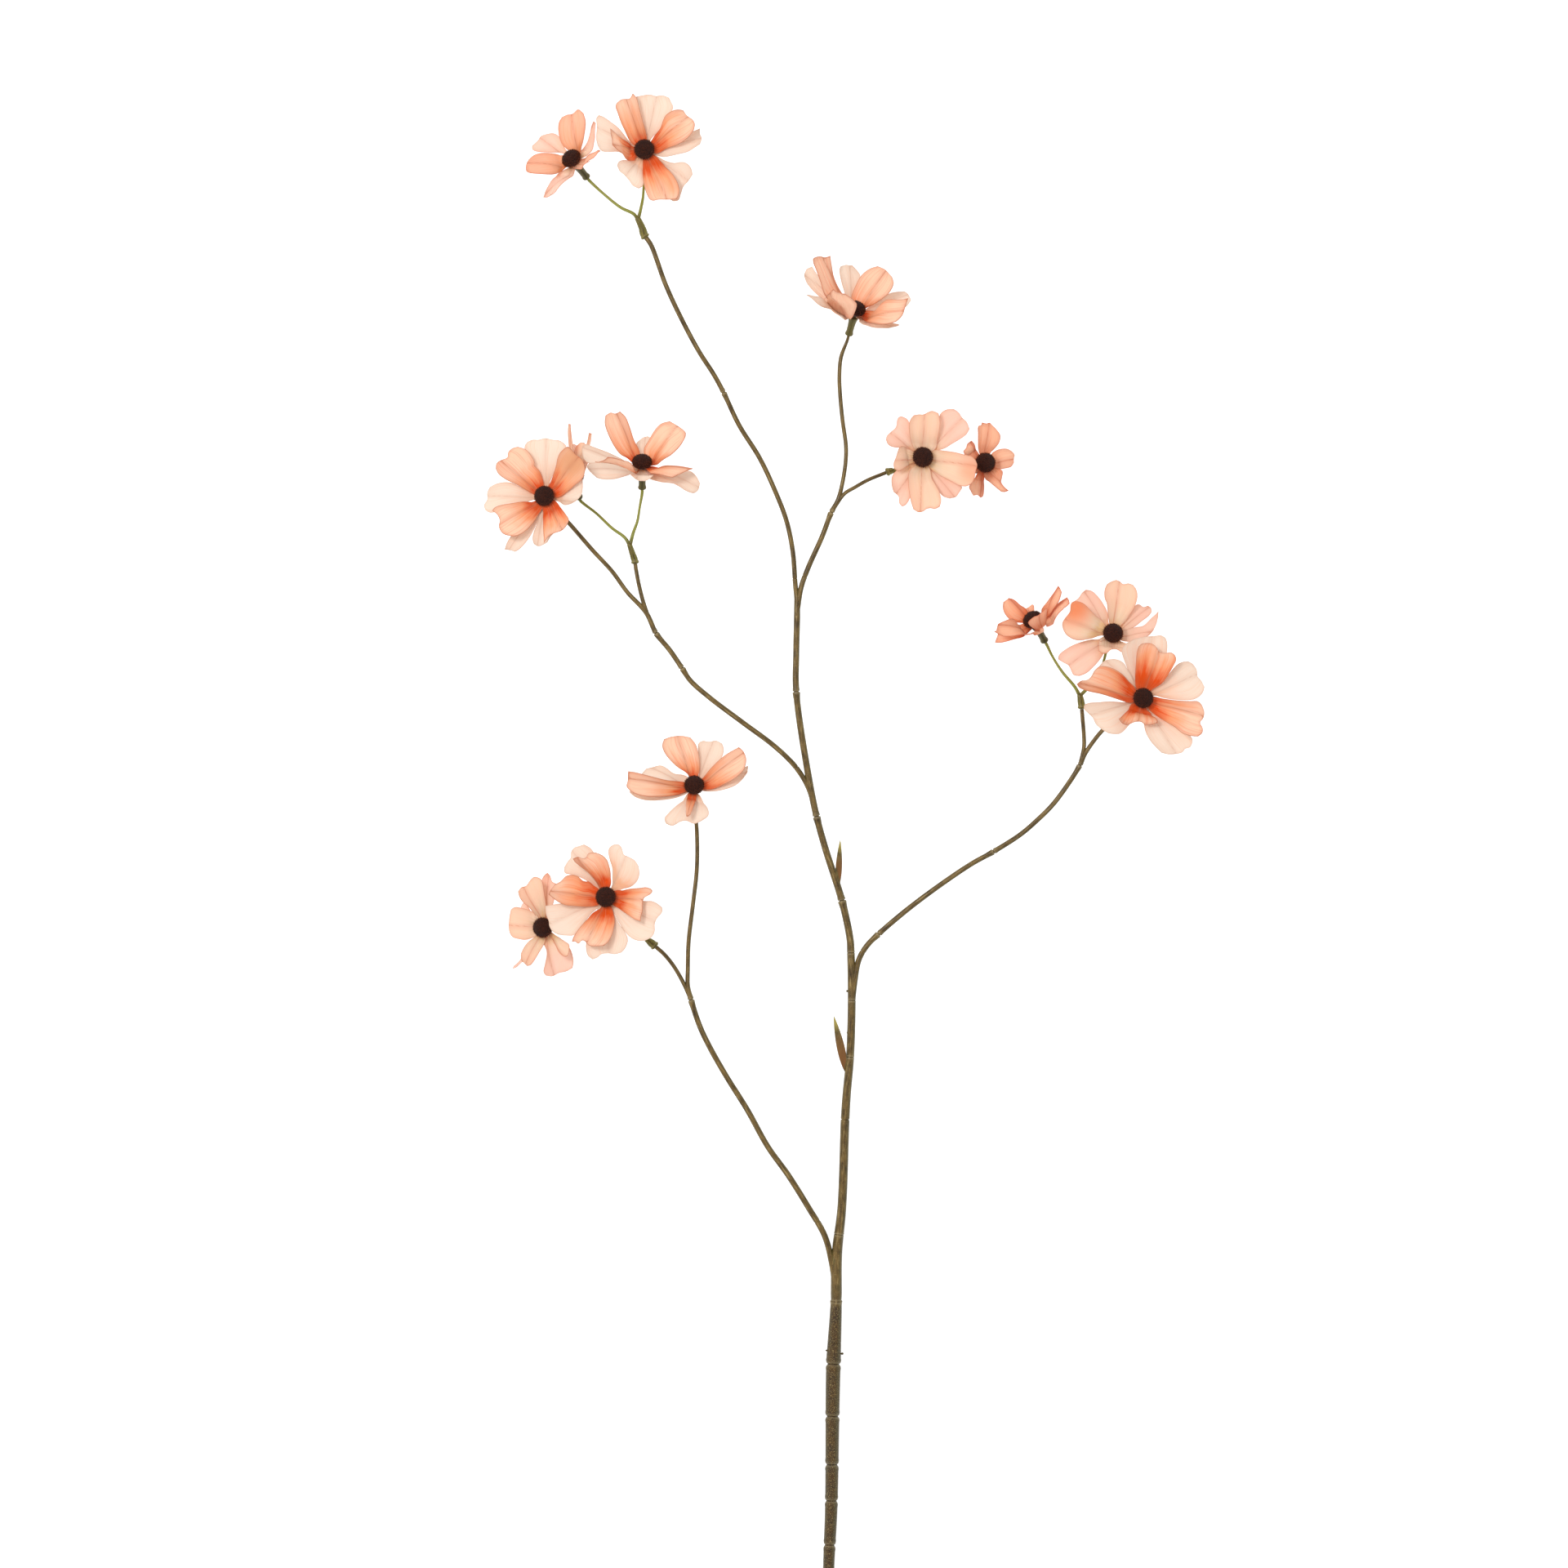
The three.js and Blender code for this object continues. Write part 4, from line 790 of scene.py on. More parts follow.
# Each blossom: its print, its front petals and its back petals.
# Each petal: direction in degrees, length and width in pixels, height of its tip over the disc in
# millimetres or None where it keeps its layer's cup, roll and twist in degrees, strength of its print
# from 0 to 1, and the pixels of the photograph that its cut edge passes, from one side round the tip.
# A petal with no pixels has the plain cut of the die.
PETALS = {
    "01": ("cream", [
        (89, 59, 34, -5, 0, 0, 0.5, [(690, 178), (684, 165), (683, 150), (687, 142), (694, 139), (701, 138),
         (708, 133), (714, 138), (717, 149), (715, 165), (711, 181)]),
        (187, 55, 34, -1, 0, 0, 0.5, [(690, 188), (672, 186), (655, 188), (647, 194), (644, 201),
         (645, 209), (652, 215), (661, 217), (676, 213), (691, 205)]),
        (14, 38, 30, 13, 0, 0, 0.2, [(705, 199), (711, 194), (719, 191), (727, 187), (733, 184), (735, 187),
         (729, 195), (721, 202), (713, 207), (705, 207)]),
    ], [
        (145, 49, 40, -20.5, 0, 0, 0.4, [(690, 186), (670, 184), (652, 181), (650, 175), (656, 170),
         (661, 163), (668, 160), (676, 160), (684, 165), (690, 178)]),
        (57, 53, 22, -8, 0, 0, 0.4, [(708, 186), (714, 180), (719, 172), (722, 162), (724, 153), (727, 147),
         (729, 149), (728, 157), (729, 168), (730, 175), (726, 181), (720, 188), (712, 196)]),
        (237, 58, 26, 16, 0, 0, 0.3, [(690, 206), (680, 214), (672, 227), (668, 236), (666, 243),
         (674, 243), (684, 238), (693, 227), (703, 210)]),
    ]),
    "02": ("orange", [
        (110, 66, 34, None, 0, 0, 0.6, [(773, 175), (765, 160), (760, 149), (757, 140), (754, 131),
         (756, 126), (762, 122), (771, 121), (775, 115), (780, 121), (783, 133), (787, 148), (790, 158),
         (792, 168)]),
        (36, 70, 32, None, 0, 0, 0.6, [(800, 168), (808, 158), (812, 148), (816, 141), (825, 136),
         (832, 135), (837, 136), (841, 142), (848, 147), (851, 153), (850, 160), (843, 169), (831, 177),
         (816, 182), (804, 188)]),
        (-66, 69, 42, None, 0, 0, 0.7, [(787, 198), (787, 214), (789, 228), (792, 238), (796, 246),
         (801, 248), (808, 246), (818, 246), (829, 245), (832, 236), (830, 226), (824, 215), (815, 205),
         (804, 192)]),
        (172, 41, 32, None, 0, 0, 0.6, [(771, 176), (760, 169), (752, 163), (746, 159), (749, 169),
         (750, 178), (756, 184), (762, 188), (767, 195), (776, 197), (785, 195)]),
    ], [
        (77, 70, 48, None, 0, 0, 0.2, [(786, 165), (782, 145), (779, 128), (779, 118), (788, 116),
         (796, 115), (803, 117), (811, 116), (819, 119), (822, 125), (824, 132), (818, 145), (807, 160),
         (797, 170)]),
        (11, 73, 42, None, 0, 0, 0.25, [(806, 176), (830, 168), (850, 160), (857, 157), (857, 164),
         (859, 169), (857, 176), (850, 181), (842, 186), (830, 189), (815, 192), (806, 191)]),
        (-36, 69, 44, None, 0, 0, 0.25, [(806, 192), (815, 197), (825, 200), (833, 199), (840, 200),
         (846, 206), (848, 214), (843, 222), (837, 229), (834, 238), (831, 246), (823, 249), (812, 244),
         (803, 225), (796, 203)]),
        (-125, 49, 42, None, 0, 0, 0.45, [(775, 195), (764, 196), (758, 198), (756, 203), (759, 210),
         (764, 214), (770, 221), (775, 228), (782, 232), (788, 226), (789, 200)]),
        (155, 67, 42, None, 0, 0, 0.4, [(770, 172), (758, 157), (748, 149), (739, 143), (733, 141),
         (730, 145), (731, 155), (730, 168), (732, 178), (737, 185), (747, 186), (758, 186), (770, 191)]),
    ]),
    "03": ("orange", [
        (124, 77, 40, -4, 0, 0, 0.45, [(1022, 373), (1008, 361), (1000, 350), (996, 337), (993, 324),
         (996, 316), (1003, 313), (1010, 314), (1016, 312), (1018, 322), (1022, 340), (1030, 356),
         (1040, 368)]),
        (52, 61, 44, -10, 0, 0, 0.4, [(1043, 364), (1048, 348), (1055, 335), (1065, 327), (1075, 324),
         (1084, 328), (1092, 337), (1094, 346), (1088, 358), (1074, 369), (1059, 377)]),
        (-5, 58, 38, 13, 6, 24, 0.6, [(1058, 377), (1080, 370), (1100, 367), (1112, 366), (1108, 377),
         (1104, 387), (1096, 394), (1080, 398), (1066, 395), (1054, 387)]),
        (162, 32, 44, 23, 0, 0, 0.1, [(1048, 378), (1044, 371), (1033, 363), (1017, 359), (1005, 360),
         (1001, 366), (1004, 372), (1012, 378), (1022, 384), (1033, 388), (1041, 388)]),
    ], [
        (146, 74, 34, -14, -14, 0, 0.35, [(1012, 368), (999, 357), (989, 345), (985, 335), (988, 326),
         (995, 322), (1003, 335), (1012, 352), (1024, 366)]),
        (98, 56, 36, -18.5, 0, 0, 0.3, [(1036, 362), (1031, 345), (1028, 330), (1030, 324), (1036, 322),
         (1043, 323), (1049, 328), (1054, 336), (1050, 350), (1046, 364)]),
        (15, 69, 34, -16, 0, 0, 0.2, [(1062, 376), (1078, 366), (1088, 358), (1098, 355), (1108, 354),
         (1113, 359), (1116, 366), (1112, 376), (1106, 386), (1085, 387), (1065, 384)]),
        (181, 42, 42, 17, 0, 0, 0.2, [(1040, 378), (1020, 374), (1003, 364), (984, 358), (994, 366),
         (1003, 375), (1012, 384), (1022, 389), (1033, 391), (1045, 388)]),
        (-29, 48, 42, 8, 0, 30, 0.2, [(1058, 386), (1075, 392), (1092, 395), (1101, 398), (1092, 401),
         (1080, 402), (1066, 400), (1054, 395), (1045, 387)]),
    ]),
    "04": ("cream", [
        (88, 57, 40, None, 0, 0, 0.4, [(1118, 548), (1114, 535), (1113, 522), (1115, 514), (1119, 509),
         (1125, 508), (1131, 508), (1137, 505), (1142, 504), (1149, 507), (1151, 520), (1148, 537),
         (1146, 549)]),
        (-10, 69, 42, None, 0, 0, 0.5, [(1144, 551), (1155, 552), (1168, 554), (1180, 557), (1189, 559),
         (1194, 564), (1196, 570), (1194, 578), (1193, 585), (1190, 592), (1183, 596), (1174, 595),
         (1163, 589), (1150, 582), (1138, 573)]),
        (-93, 69, 40, None, 0, 0, 0.4, [(1139, 575), (1141, 586), (1146, 595), (1150, 603), (1152, 613),
         (1150, 621), (1144, 624), (1139, 623), (1134, 624), (1130, 627), (1124, 628), (1118, 624),
         (1114, 610), (1112, 592), (1114, 576)]),
        (188, 41, 34, None, 0, 0, 0.4, [(1118, 552), (1109, 548), (1103, 547), (1100, 551), (1097, 560),
         (1094, 568), (1095, 575), (1101, 577), (1108, 573), (1116, 568)]),
    ], [
        (45, 69, 48, None, 0, 0, 0.4, [(1142, 545), (1147, 525), (1150, 510), (1154, 504), (1161, 501),
         (1168, 501), (1174, 505), (1178, 511), (1184, 517), (1187, 525), (1183, 532), (1175, 538),
         (1165, 544), (1157, 549), (1147, 552)]),
        (143, 56, 42, None, 0, 0, 0.4, [(1120, 540), (1113, 517), (1108, 512), (1103, 510), (1099, 513),
         (1097, 523), (1091, 529), (1086, 534), (1085, 539), (1088, 545), (1095, 548), (1105, 549),
         (1118, 554)]),
        (-52, 62, 42, None, 0, 0, 0.35, [(1146, 568), (1162, 580), (1175, 592), (1178, 598), (1174, 604),
         (1170, 609), (1163, 611), (1156, 609), (1150, 603), (1143, 590), (1137, 576)]),
        (-126, 61, 44, None, 0, 0, 0.5, [(1116, 566), (1105, 572), (1096, 578), (1092, 585), (1092, 595),
         (1094, 603), (1100, 608), (1101, 616), (1104, 620), (1108, 619), (1113, 612), (1118, 595),
         (1126, 576)]),
    ]),
    "05": ("salmon", [
        (85, 50, 22, None, 0, 0, 0.35, [(1199, 552), (1198, 540), (1198, 530), (1198, 522), (1202, 520),
         (1203, 517), (1208, 518), (1212, 517), (1216, 521), (1221, 526), (1225, 533), (1224, 541),
         (1219, 548), (1214, 553)]),
        (-52, 47, 26, None, 0, 0, 0.42, [(1218, 572), (1225, 574), (1228, 577), (1227, 584), (1226, 590),
         (1230, 596), (1235, 600), (1231, 602), (1226, 602), (1219, 596), (1211, 589), (1205, 582)]),
        (190, 34, 24, None, 0, 0, 0.35, [(1195, 562), (1185, 557), (1178, 559), (1177, 567), (1175, 574),
         (1178, 582), (1182, 588), (1190, 585), (1197, 578)]),
    ], [
        (7, 38, 34, None, 0, 0, 0.3, [(1214, 556), (1220, 551), (1226, 549), (1234, 549), (1240, 552),
         (1243, 556), (1242, 561), (1242, 566), (1238, 571), (1230, 573), (1222, 574), (1216, 572)]),
        (-100, 43, 26, None, 0, 0, 0.4, [(1206, 582), (1205, 590), (1205, 600), (1204, 607), (1201, 609),
         (1197, 606), (1192, 607), (1189, 602), (1187, 596), (1191, 587), (1197, 579)]),
        (128, 31, 28, None, 0, 0, 0.3, [(1190, 560), (1182, 557), (1180, 552), (1183, 548), (1185, 543),
         (1189, 539), (1193, 543), (1195, 549), (1199, 555)]),
    ]),
    "06": ("orange", [
        (141, 71, 52, None, 0, 0, 0.5, [(654, 606), (645, 601), (633, 594), (622, 589), (612, 582),
         (608, 575), (609, 568), (615, 564), (622, 561), (623, 555), (628, 550), (635, 548), (644, 551),
         (650, 557), (655, 566), (655, 571), (661, 577), (665, 587), (668, 597)]),
        (48, 70, 40, None, 0, 0, 0.62, [(671, 597), (677, 585), (681, 573), (683, 563), (686, 556),
         (691, 551), (696, 548), (701, 552), (706, 558), (713, 563), (716, 570), (717, 577), (714, 587),
         (706, 594), (694, 604), (684, 610)]),
        (213, 65, 44, None, 0, 0, 0.6, [(653, 615), (640, 615), (628, 617), (615, 619), (607, 622),
         (604, 626), (610, 631), (613, 638), (612, 645), (615, 652), (621, 656), (632, 658), (642, 653),
         (652, 643), (660, 631), (665, 623)]),
        (-62, 48, 36, None, 0, 0, 0.8, [(665, 625), (666, 640), (666, 655), (666, 664), (672, 657),
         (680, 653), (689, 650), (694, 645), (697, 637), (693, 630), (687, 622), (681, 614)]),
    ], [
        (88, 73, 54, None, 0, 0, 0.3, [(662, 592), (652, 570), (643, 550), (646, 542), (652, 539),
         (660, 539), (668, 537), (677, 539), (685, 540), (691, 544), (694, 549), (688, 560), (680, 577),
         (673, 593)]),
        (180, 74, 42, None, 0, 0, 0.25, [(652, 604), (640, 598), (628, 592), (618, 591), (608, 593),
         (600, 597), (597, 604), (597, 612), (593, 619), (595, 625), (602, 628), (620, 624), (640, 618),
         (652, 613)]),
        (237, 78, 44, None, 0, 0, 0.25, [(650, 618), (640, 638), (628, 655), (622, 665), (619, 674),
         (624, 674), (631, 676), (637, 673), (643, 667), (649, 659), (655, 648), (664, 628)]),
        (-97, 64, 42, None, 0, 0, 0.25, [(663, 625), (659, 640), (655, 650), (653, 660), (655, 667),
         (660, 670), (666, 668), (671, 665), (675, 658), (680, 652), (684, 640), (677, 622)]),
        (-12, 51, 44, None, 0, 0, 0.45, [(682, 604), (698, 596), (714, 588), (714, 600), (712, 608),
         (706, 614), (699, 618), (691, 619), (682, 614)]),
    ]),
    "07": ("orange", [
        (118, 73, 38, -13, 0, 0, 0.55, [(770, 562), (758, 554), (748, 538), (741, 520), (741, 508),
         (747, 504), (753, 505), (759, 502), (766, 509), (771, 522), (776, 538), (783, 553)]),
        (46, 64, 42, -5, 0, 0, 0.45, [(788, 552), (794, 538), (801, 526), (809, 518), (820, 515),
         (830, 521), (838, 528), (840, 536), (834, 546), (822, 556), (811, 563), (800, 569)]),
        (-8, 63, 36, 11, -18, 46, 0.7, [(797, 570), (820, 570), (836, 571), (848, 573), (840, 577),
         (832, 581), (824, 585), (816, 585), (808, 582), (790, 582)]),
        (182, 58, 32, 21.5, 0, 40, 0.3, [(778, 570), (762, 565), (745, 562), (729, 567), (738, 575),
         (751, 581), (765, 583), (778, 578)]),
    ], [
        (167, 75, 36, -1, 0, -25, 0.25, [(768, 566), (750, 556), (732, 549), (718, 543), (713, 546),
         (713, 553), (715, 560), (722, 567), (740, 567), (765, 572)]),
        (189, 68, 36, 9, 0, -35, 0.25, [(768, 568), (745, 566), (722, 567), (719, 572), (724, 579),
         (731, 585), (742, 587), (755, 586), (768, 582), (778, 577)]),
        (-25, 80, 38, 5, -10, 36, 0.2, [(797, 574), (818, 573), (836, 576), (846, 577), (853, 584),
         (857, 592), (855, 600), (849, 604), (840, 601), (825, 592), (808, 590), (792, 588)]),
        (83, 34, 34, -21.5, 0, 0, 0.2, [(779, 553), (778, 545), (780, 540), (786, 534), (793, 533),
         (798, 538), (792, 548), (789, 554)]),
        (-105, 27, 32, 17, 0, 0, 0.3, [(774, 576), (774, 583), (778, 588), (785, 590), (792, 589),
         (799, 585), (800, 577)]),
    ]),
    "08": ("cream", [
        (68, 56, 10, 0, 15, 0, 0.0, [(708, 562), (716, 548), (719, 538), (721, 529), (724, 530), (723, 540),
         (720, 550), (714, 566)]),
        (94, 63, 10, 1, -15, 0, 0.0, [(697, 560), (696, 545), (695, 530), (695, 519), (698, 519),
         (699, 532), (701, 548), (703, 560)]),
        (84, 42, 22, -3, 0, 0, 0.5, [(700, 570), (702, 558), (704, 547), (710, 541), (715, 541), (718, 547),
         (716, 558), (710, 572)]),
    ], [
        (70, 40, 20, -10.5, 0, 0, 0.4, []),
        (102, 40, 20, -10.5, 0, 0, 0.4, []),
        (84, 42, 24, -11, 0, 0, 0.4, []),
    ]),
    "09": ("salmon", [
        (138, 38, 34, -9, 0, 0, 0.6, [(1254, 762), (1240, 760), (1232, 752), (1229, 744), (1230, 736),
         (1236, 732), (1243, 734), (1250, 740), (1258, 746)]),
        (190, 43, 28, 6, 0, -30, 0.55, [(1256, 762), (1244, 759), (1232, 759), (1223, 763), (1220, 772),
         (1219, 783), (1232, 782), (1245, 780), (1255, 776)]),
        (40, 10, 30, 17, 0, 0, 0.4, []),
        (52, 52, 24, 4, 20, 0, 0.55, [(1276, 747), (1283, 736), (1291, 725), (1296, 717), (1299, 725),
         (1296, 736), (1290, 746), (1280, 757)]),
    ], [
        (204, 49, 30, 2, -6, 0, 0.5, [(1254, 764), (1238, 764), (1224, 770), (1219, 783), (1233, 784),
         (1247, 781), (1257, 776)]),
        (262, 22, 32, 13, 0, 0, 0.5, [(1254, 770), (1252, 777), (1261, 780), (1270, 779), (1278, 774),
         (1276, 768)]),
        (30, 48, 30, 2, 0, 0, 0.35, [(1278, 756), (1290, 745), (1299, 736), (1307, 731), (1310, 739),
         (1309, 752), (1300, 758), (1288, 765), (1274, 768)]),
        (110, 15, 16, -14.5, 0, 0, 0.5, []),
    ]),
    "10": ("cream", [
        (83, 64, 42, None, 0, 0, 0.4, [(1357, 753), (1356, 740), (1353, 732), (1353, 722), (1356, 715),
         (1361, 712), (1367, 710), (1372, 712), (1376, 715), (1382, 714), (1388, 716), (1392, 722),
         (1393, 731), (1390, 742), (1384, 752), (1376, 763)]),
        (165, 62, 42, None, 0, 0, 0.6, [(1350, 760), (1342, 754), (1335, 747), (1328, 740), (1322, 737),
         (1316, 736), (1311, 740), (1310, 749), (1304, 757), (1301, 763), (1302, 770), (1306, 777),
         (1313, 782), (1322, 784), (1336, 782), (1348, 778)]),
        (-92, 26, 40, None, 0, 0, 0.3, [(1348, 780), (1345, 788), (1345, 795), (1350, 801), (1356, 799),
         (1361, 795), (1367, 795), (1373, 799), (1379, 797), (1383, 789), (1381, 779)]),
    ], [
        (125, 60, 44, None, 0, 0, 0.35, [(1345, 762), (1328, 748), (1312, 738), (1320, 733), (1325, 726),
         (1330, 722), (1337, 723), (1344, 729), (1350, 737), (1357, 752)]),
        (216, 72, 46, None, 0, 0, 0.45, [(1348, 782), (1338, 783), (1328, 785), (1316, 789), (1306, 794),
         (1297, 801), (1296, 807), (1302, 811), (1308, 815), (1311, 821), (1314, 827), (1321, 828),
         (1330, 824), (1339, 816), (1347, 807), (1353, 797), (1357, 789)]),
        (35, 57, 38, None, 0, 0, 0.35, [(1376, 762), (1385, 750), (1391, 741), (1396, 740), (1401, 743),
         (1406, 741), (1410, 744), (1411, 749), (1407, 754), (1399, 760), (1390, 767), (1379, 772)]),
        (2, 56, 40, -2, 0, 0, 0.3, [(1378, 771), (1390, 768), (1400, 766), (1410, 757), (1419, 749),
         (1418, 756), (1415, 766), (1410, 774), (1403, 780), (1392, 784), (1377, 785)]),
    ]),
    "11": ("orange", [
        (72, 65, 47, None, 0, 0, 0.85, [(1390, 842), (1389, 828), (1390, 812), (1391, 801), (1393, 793),
         (1397, 789), (1403, 788), (1410, 789), (1415, 793), (1419, 799), (1426, 800), (1432, 799),
         (1437, 802), (1439, 808), (1436, 815), (1430, 826), (1422, 837), (1411, 844)]),
        (167, 80, 42, None, 0, 0, 0.75, [(1388, 841), (1380, 833), (1372, 825), (1362, 819), (1352, 816),
         (1344, 817), (1339, 822), (1335, 829), (1330, 833), (1323, 834), (1318, 838), (1322, 843),
         (1333, 847), (1347, 850), (1360, 854), (1372, 858), (1384, 861)]),
        (-17, 77, 44, None, 0, 0, 0.6, [(1412, 853), (1425, 856), (1440, 858), (1455, 859), (1465, 859),
         (1470, 863), (1473, 871), (1472, 879), (1468, 885), (1471, 892), (1470, 898), (1465, 902),
         (1455, 901), (1445, 897), (1437, 890), (1430, 886), (1420, 880), (1407, 870)]),
        (-103, 36, 36, None, 0, 0, 0.8, [(1384, 862), (1380, 870), (1372, 878), (1367, 884), (1371, 887),
         (1378, 888), (1384, 886), (1390, 884), (1396, 884), (1401, 887), (1409, 887), (1416, 885),
         (1415, 881), (1409, 876), (1404, 870)]),
    ], [
        (24, 77, 48, None, 0, 0, 0.45, [(1411, 844), (1425, 832), (1436, 819), (1441, 814), (1447, 811),
         (1454, 810), (1460, 813), (1465, 820), (1466, 828), (1471, 834), (1474, 841), (1472, 848),
         (1466, 854), (1457, 857), (1440, 857), (1425, 855), (1412, 852)]),
        (-60, 79, 48, None, 0, 0, 0.25, [(1410, 868), (1428, 880), (1446, 892), (1458, 903), (1459, 909),
         (1456, 915), (1450, 917), (1447, 921), (1441, 923), (1430, 924), (1421, 922), (1413, 914),
         (1406, 905), (1401, 894), (1398, 872)]),
        (198, 74, 44, None, 0, 0, 0.2, [(1386, 859), (1372, 860), (1358, 859), (1345, 860), (1334, 861),
         (1327, 863), (1326, 868), (1331, 873), (1337, 879), (1341, 887), (1348, 893), (1356, 898),
         (1364, 899), (1371, 898), (1378, 892), (1387, 880), (1394, 868)]),
        (135, 61, 44, None, 0, 0, 0.35, [(1380, 850), (1356, 832), (1343, 819), (1350, 811), (1356, 808),
         (1364, 807), (1371, 809), (1376, 813), (1380, 820), (1386, 830), (1391, 842)]),
        (83, 76, 48, None, 0, 0, 0.25, [(1391, 843), (1385, 831), (1379, 817), (1374, 803), (1373, 795),
         (1379, 788), (1388, 783), (1400, 780), (1413, 779), (1421, 778), (1427, 781), (1429, 788),
         (1428, 800), (1422, 820), (1410, 843)]),
    ]),
    "12": ("orange", [
        (110, 66, 46, None, 0, 0, 0.5, [(842, 948), (828, 938), (816, 925), (811, 914), (813, 905),
         (822, 902), (834, 901), (845, 903), (852, 912), (856, 928), (856, 946)]),
        (175, 82, 34, None, 0, 0, 0.55, [(835, 957), (815, 955), (795, 950), (778, 946), (769, 945),
         (769, 955), (768, 963), (776, 971), (790, 976), (812, 975), (836, 971)]),
        (32, 71, 34, None, 0, 0, 0.6, [(860, 953), (872, 939), (886, 926), (897, 919), (905, 915),
         (911, 921), (914, 931), (911, 942), (901, 952), (885, 961), (866, 967)]),
        (258, 38, 16, 15, 0, 0, 0.8, [(842, 974), (840, 986), (841, 998), (846, 996), (850, 985),
         (853, 976)]),
    ], [
        (66, 62, 48, None, 0, 0, 0.2, [(856, 946), (855, 925), (855, 911), (861, 907), (869, 908),
         (877, 907), (884, 911), (886, 919), (882, 930), (873, 940), (862, 952)]),
        (159, 61, 40, None, 0, 0, 0.2, [(836, 970), (812, 966), (792, 958), (786, 947), (791, 941),
         (799, 939), (809, 937), (817, 941), (825, 947), (840, 950)]),
        (13, 70, 34, None, 0, 0, 0.2, [(862, 955), (885, 950), (903, 943), (916, 938), (915, 946),
         (908, 955), (899, 962), (885, 967), (866, 969)]),
        (186, 74, 28, None, 0, 0, 0.2, [(836, 962), (800, 964), (772, 964), (771, 971), (779, 977),
         (795, 980), (815, 979), (836, 974)]),
        (261, 50, 54, None, 0, 0, 0.3, [(840, 974), (828, 987), (818, 996), (814, 1001), (816, 1007),
         (824, 1010), (833, 1006), (841, 1005), (850, 1009), (858, 1006), (866, 1000), (868, 994),
         (864, 986), (859, 974)]),
    ]),
    "13": ("orange", [
        (126, 63, 40, None, 0, 0, 0.65, [(734, 1087), (728, 1077), (720, 1068), (711, 1061), (704, 1055),
         (702, 1051), (708, 1049), (713, 1051), (718, 1050), (721, 1045), (729, 1044), (737, 1047),
         (743, 1052), (746, 1059), (748, 1070), (750, 1085)]),
        (174, 71, 42, None, 0, 0, 0.6, [(733, 1088), (727, 1084), (721, 1079), (715, 1079), (708, 1073),
         (700, 1071), (693, 1073), (687, 1079), (680, 1083), (675, 1089), (672, 1095), (677, 1099),
         (684, 1104), (693, 1108), (703, 1109), (716, 1110), (731, 1109)]),
        (-4, 60, 36, None, 0, 0, 0.75, [(754, 1090), (763, 1090), (772, 1088), (782, 1087), (791, 1086),
         (797, 1088), (799, 1091), (796, 1095), (789, 1099), (787, 1106), (787, 1114), (785, 1121),
         (784, 1127), (777, 1125), (768, 1119), (752, 1109)]),
        (-112, 66, 44, None, 0, 0, 0.7, [(736, 1111), (727, 1117), (719, 1126), (710, 1136), (703, 1146),
         (701, 1152), (705, 1152), (709, 1155), (713, 1151), (717, 1152), (722, 1157), (731, 1158),
         (740, 1157), (746, 1151), (751, 1140), (753, 1125), (750, 1111)]),
    ], [
        (126, 78, 46, None, 0, 0, 0.2, [(728, 1085), (714, 1076), (700, 1071), (692, 1069), (691, 1062),
         (695, 1055), (699, 1050), (699, 1044), (703, 1038), (709, 1036), (715, 1034), (721, 1037),
         (726, 1042), (735, 1058), (743, 1082)]),
        (63, 70, 44, None, 0, 0, 0.75, [(749, 1086), (750, 1075), (750, 1063), (747, 1053), (745, 1043),
         (747, 1037), (752, 1034), (758, 1034), (762, 1039), (764, 1046), (770, 1049), (777, 1053),
         (782, 1060), (783, 1070), (780, 1079), (772, 1086), (757, 1091)]),
        (-27, 79, 50, None, 0, 0, 0.3, [(756, 1100), (775, 1101), (790, 1103), (798, 1103), (805, 1106),
         (811, 1111), (811, 1117), (805, 1124), (802, 1131), (802, 1140), (798, 1147), (790, 1151),
         (781, 1151), (772, 1147), (763, 1137), (750, 1115)]),
        (-86, 75, 42, None, 0, 0, 0.25, [(732, 1112), (724, 1135), (719, 1150), (718, 1160), (720, 1169),
         (726, 1174), (732, 1172), (737, 1168), (745, 1167), (753, 1168), (761, 1166), (766, 1160),
         (769, 1150), (765, 1140), (758, 1130), (750, 1113)]),
        (206, 72, 46, None, 0, 0, 0.25, [(731, 1100), (710, 1104), (688, 1106), (668, 1109), (669, 1120),
         (672, 1127), (673, 1134), (677, 1140), (684, 1144), (694, 1145), (704, 1144), (713, 1133),
         (724, 1119), (735, 1110)]),
    ]),
    "14": ("cream", [
        (115, 64, 40, None, 0, 0, 0.35, [(657, 1125), (648, 1112), (641, 1106), (636, 1099), (634, 1092),
         (638, 1087), (644, 1085), (649, 1078), (654, 1074), (660, 1075), (664, 1079), (666, 1092),
         (668, 1106), (668, 1120)]),
        (245, 54, 36, -8, 0, 0, 0.45, [(654, 1148), (646, 1154), (640, 1162), (637, 1170), (639, 1178),
         (644, 1183), (649, 1182), (654, 1176), (660, 1166), (667, 1153)]),
        (-55, 48, 32, None, 0, 0, 0.5, [(674, 1148), (680, 1158), (684, 1166), (690, 1171), (695, 1171),
         (697, 1164), (697, 1157), (692, 1153), (681, 1146)]),
        (176, 45, 36, -10.5, 0, 0, 0.35, [(658, 1120), (648, 1115), (638, 1112), (630, 1111), (625, 1114),
         (623, 1124), (622, 1135), (623, 1143), (627, 1148), (634, 1150), (644, 1151), (657, 1147)]),
    ], [
        (83, 67, 30, None, 0, 0, 0.45, [(665, 1122), (667, 1105), (665, 1090), (663, 1079), (666, 1072),
         (670, 1069), (673, 1073), (676, 1080), (683, 1083), (680, 1095), (676, 1110), (671, 1124)]),
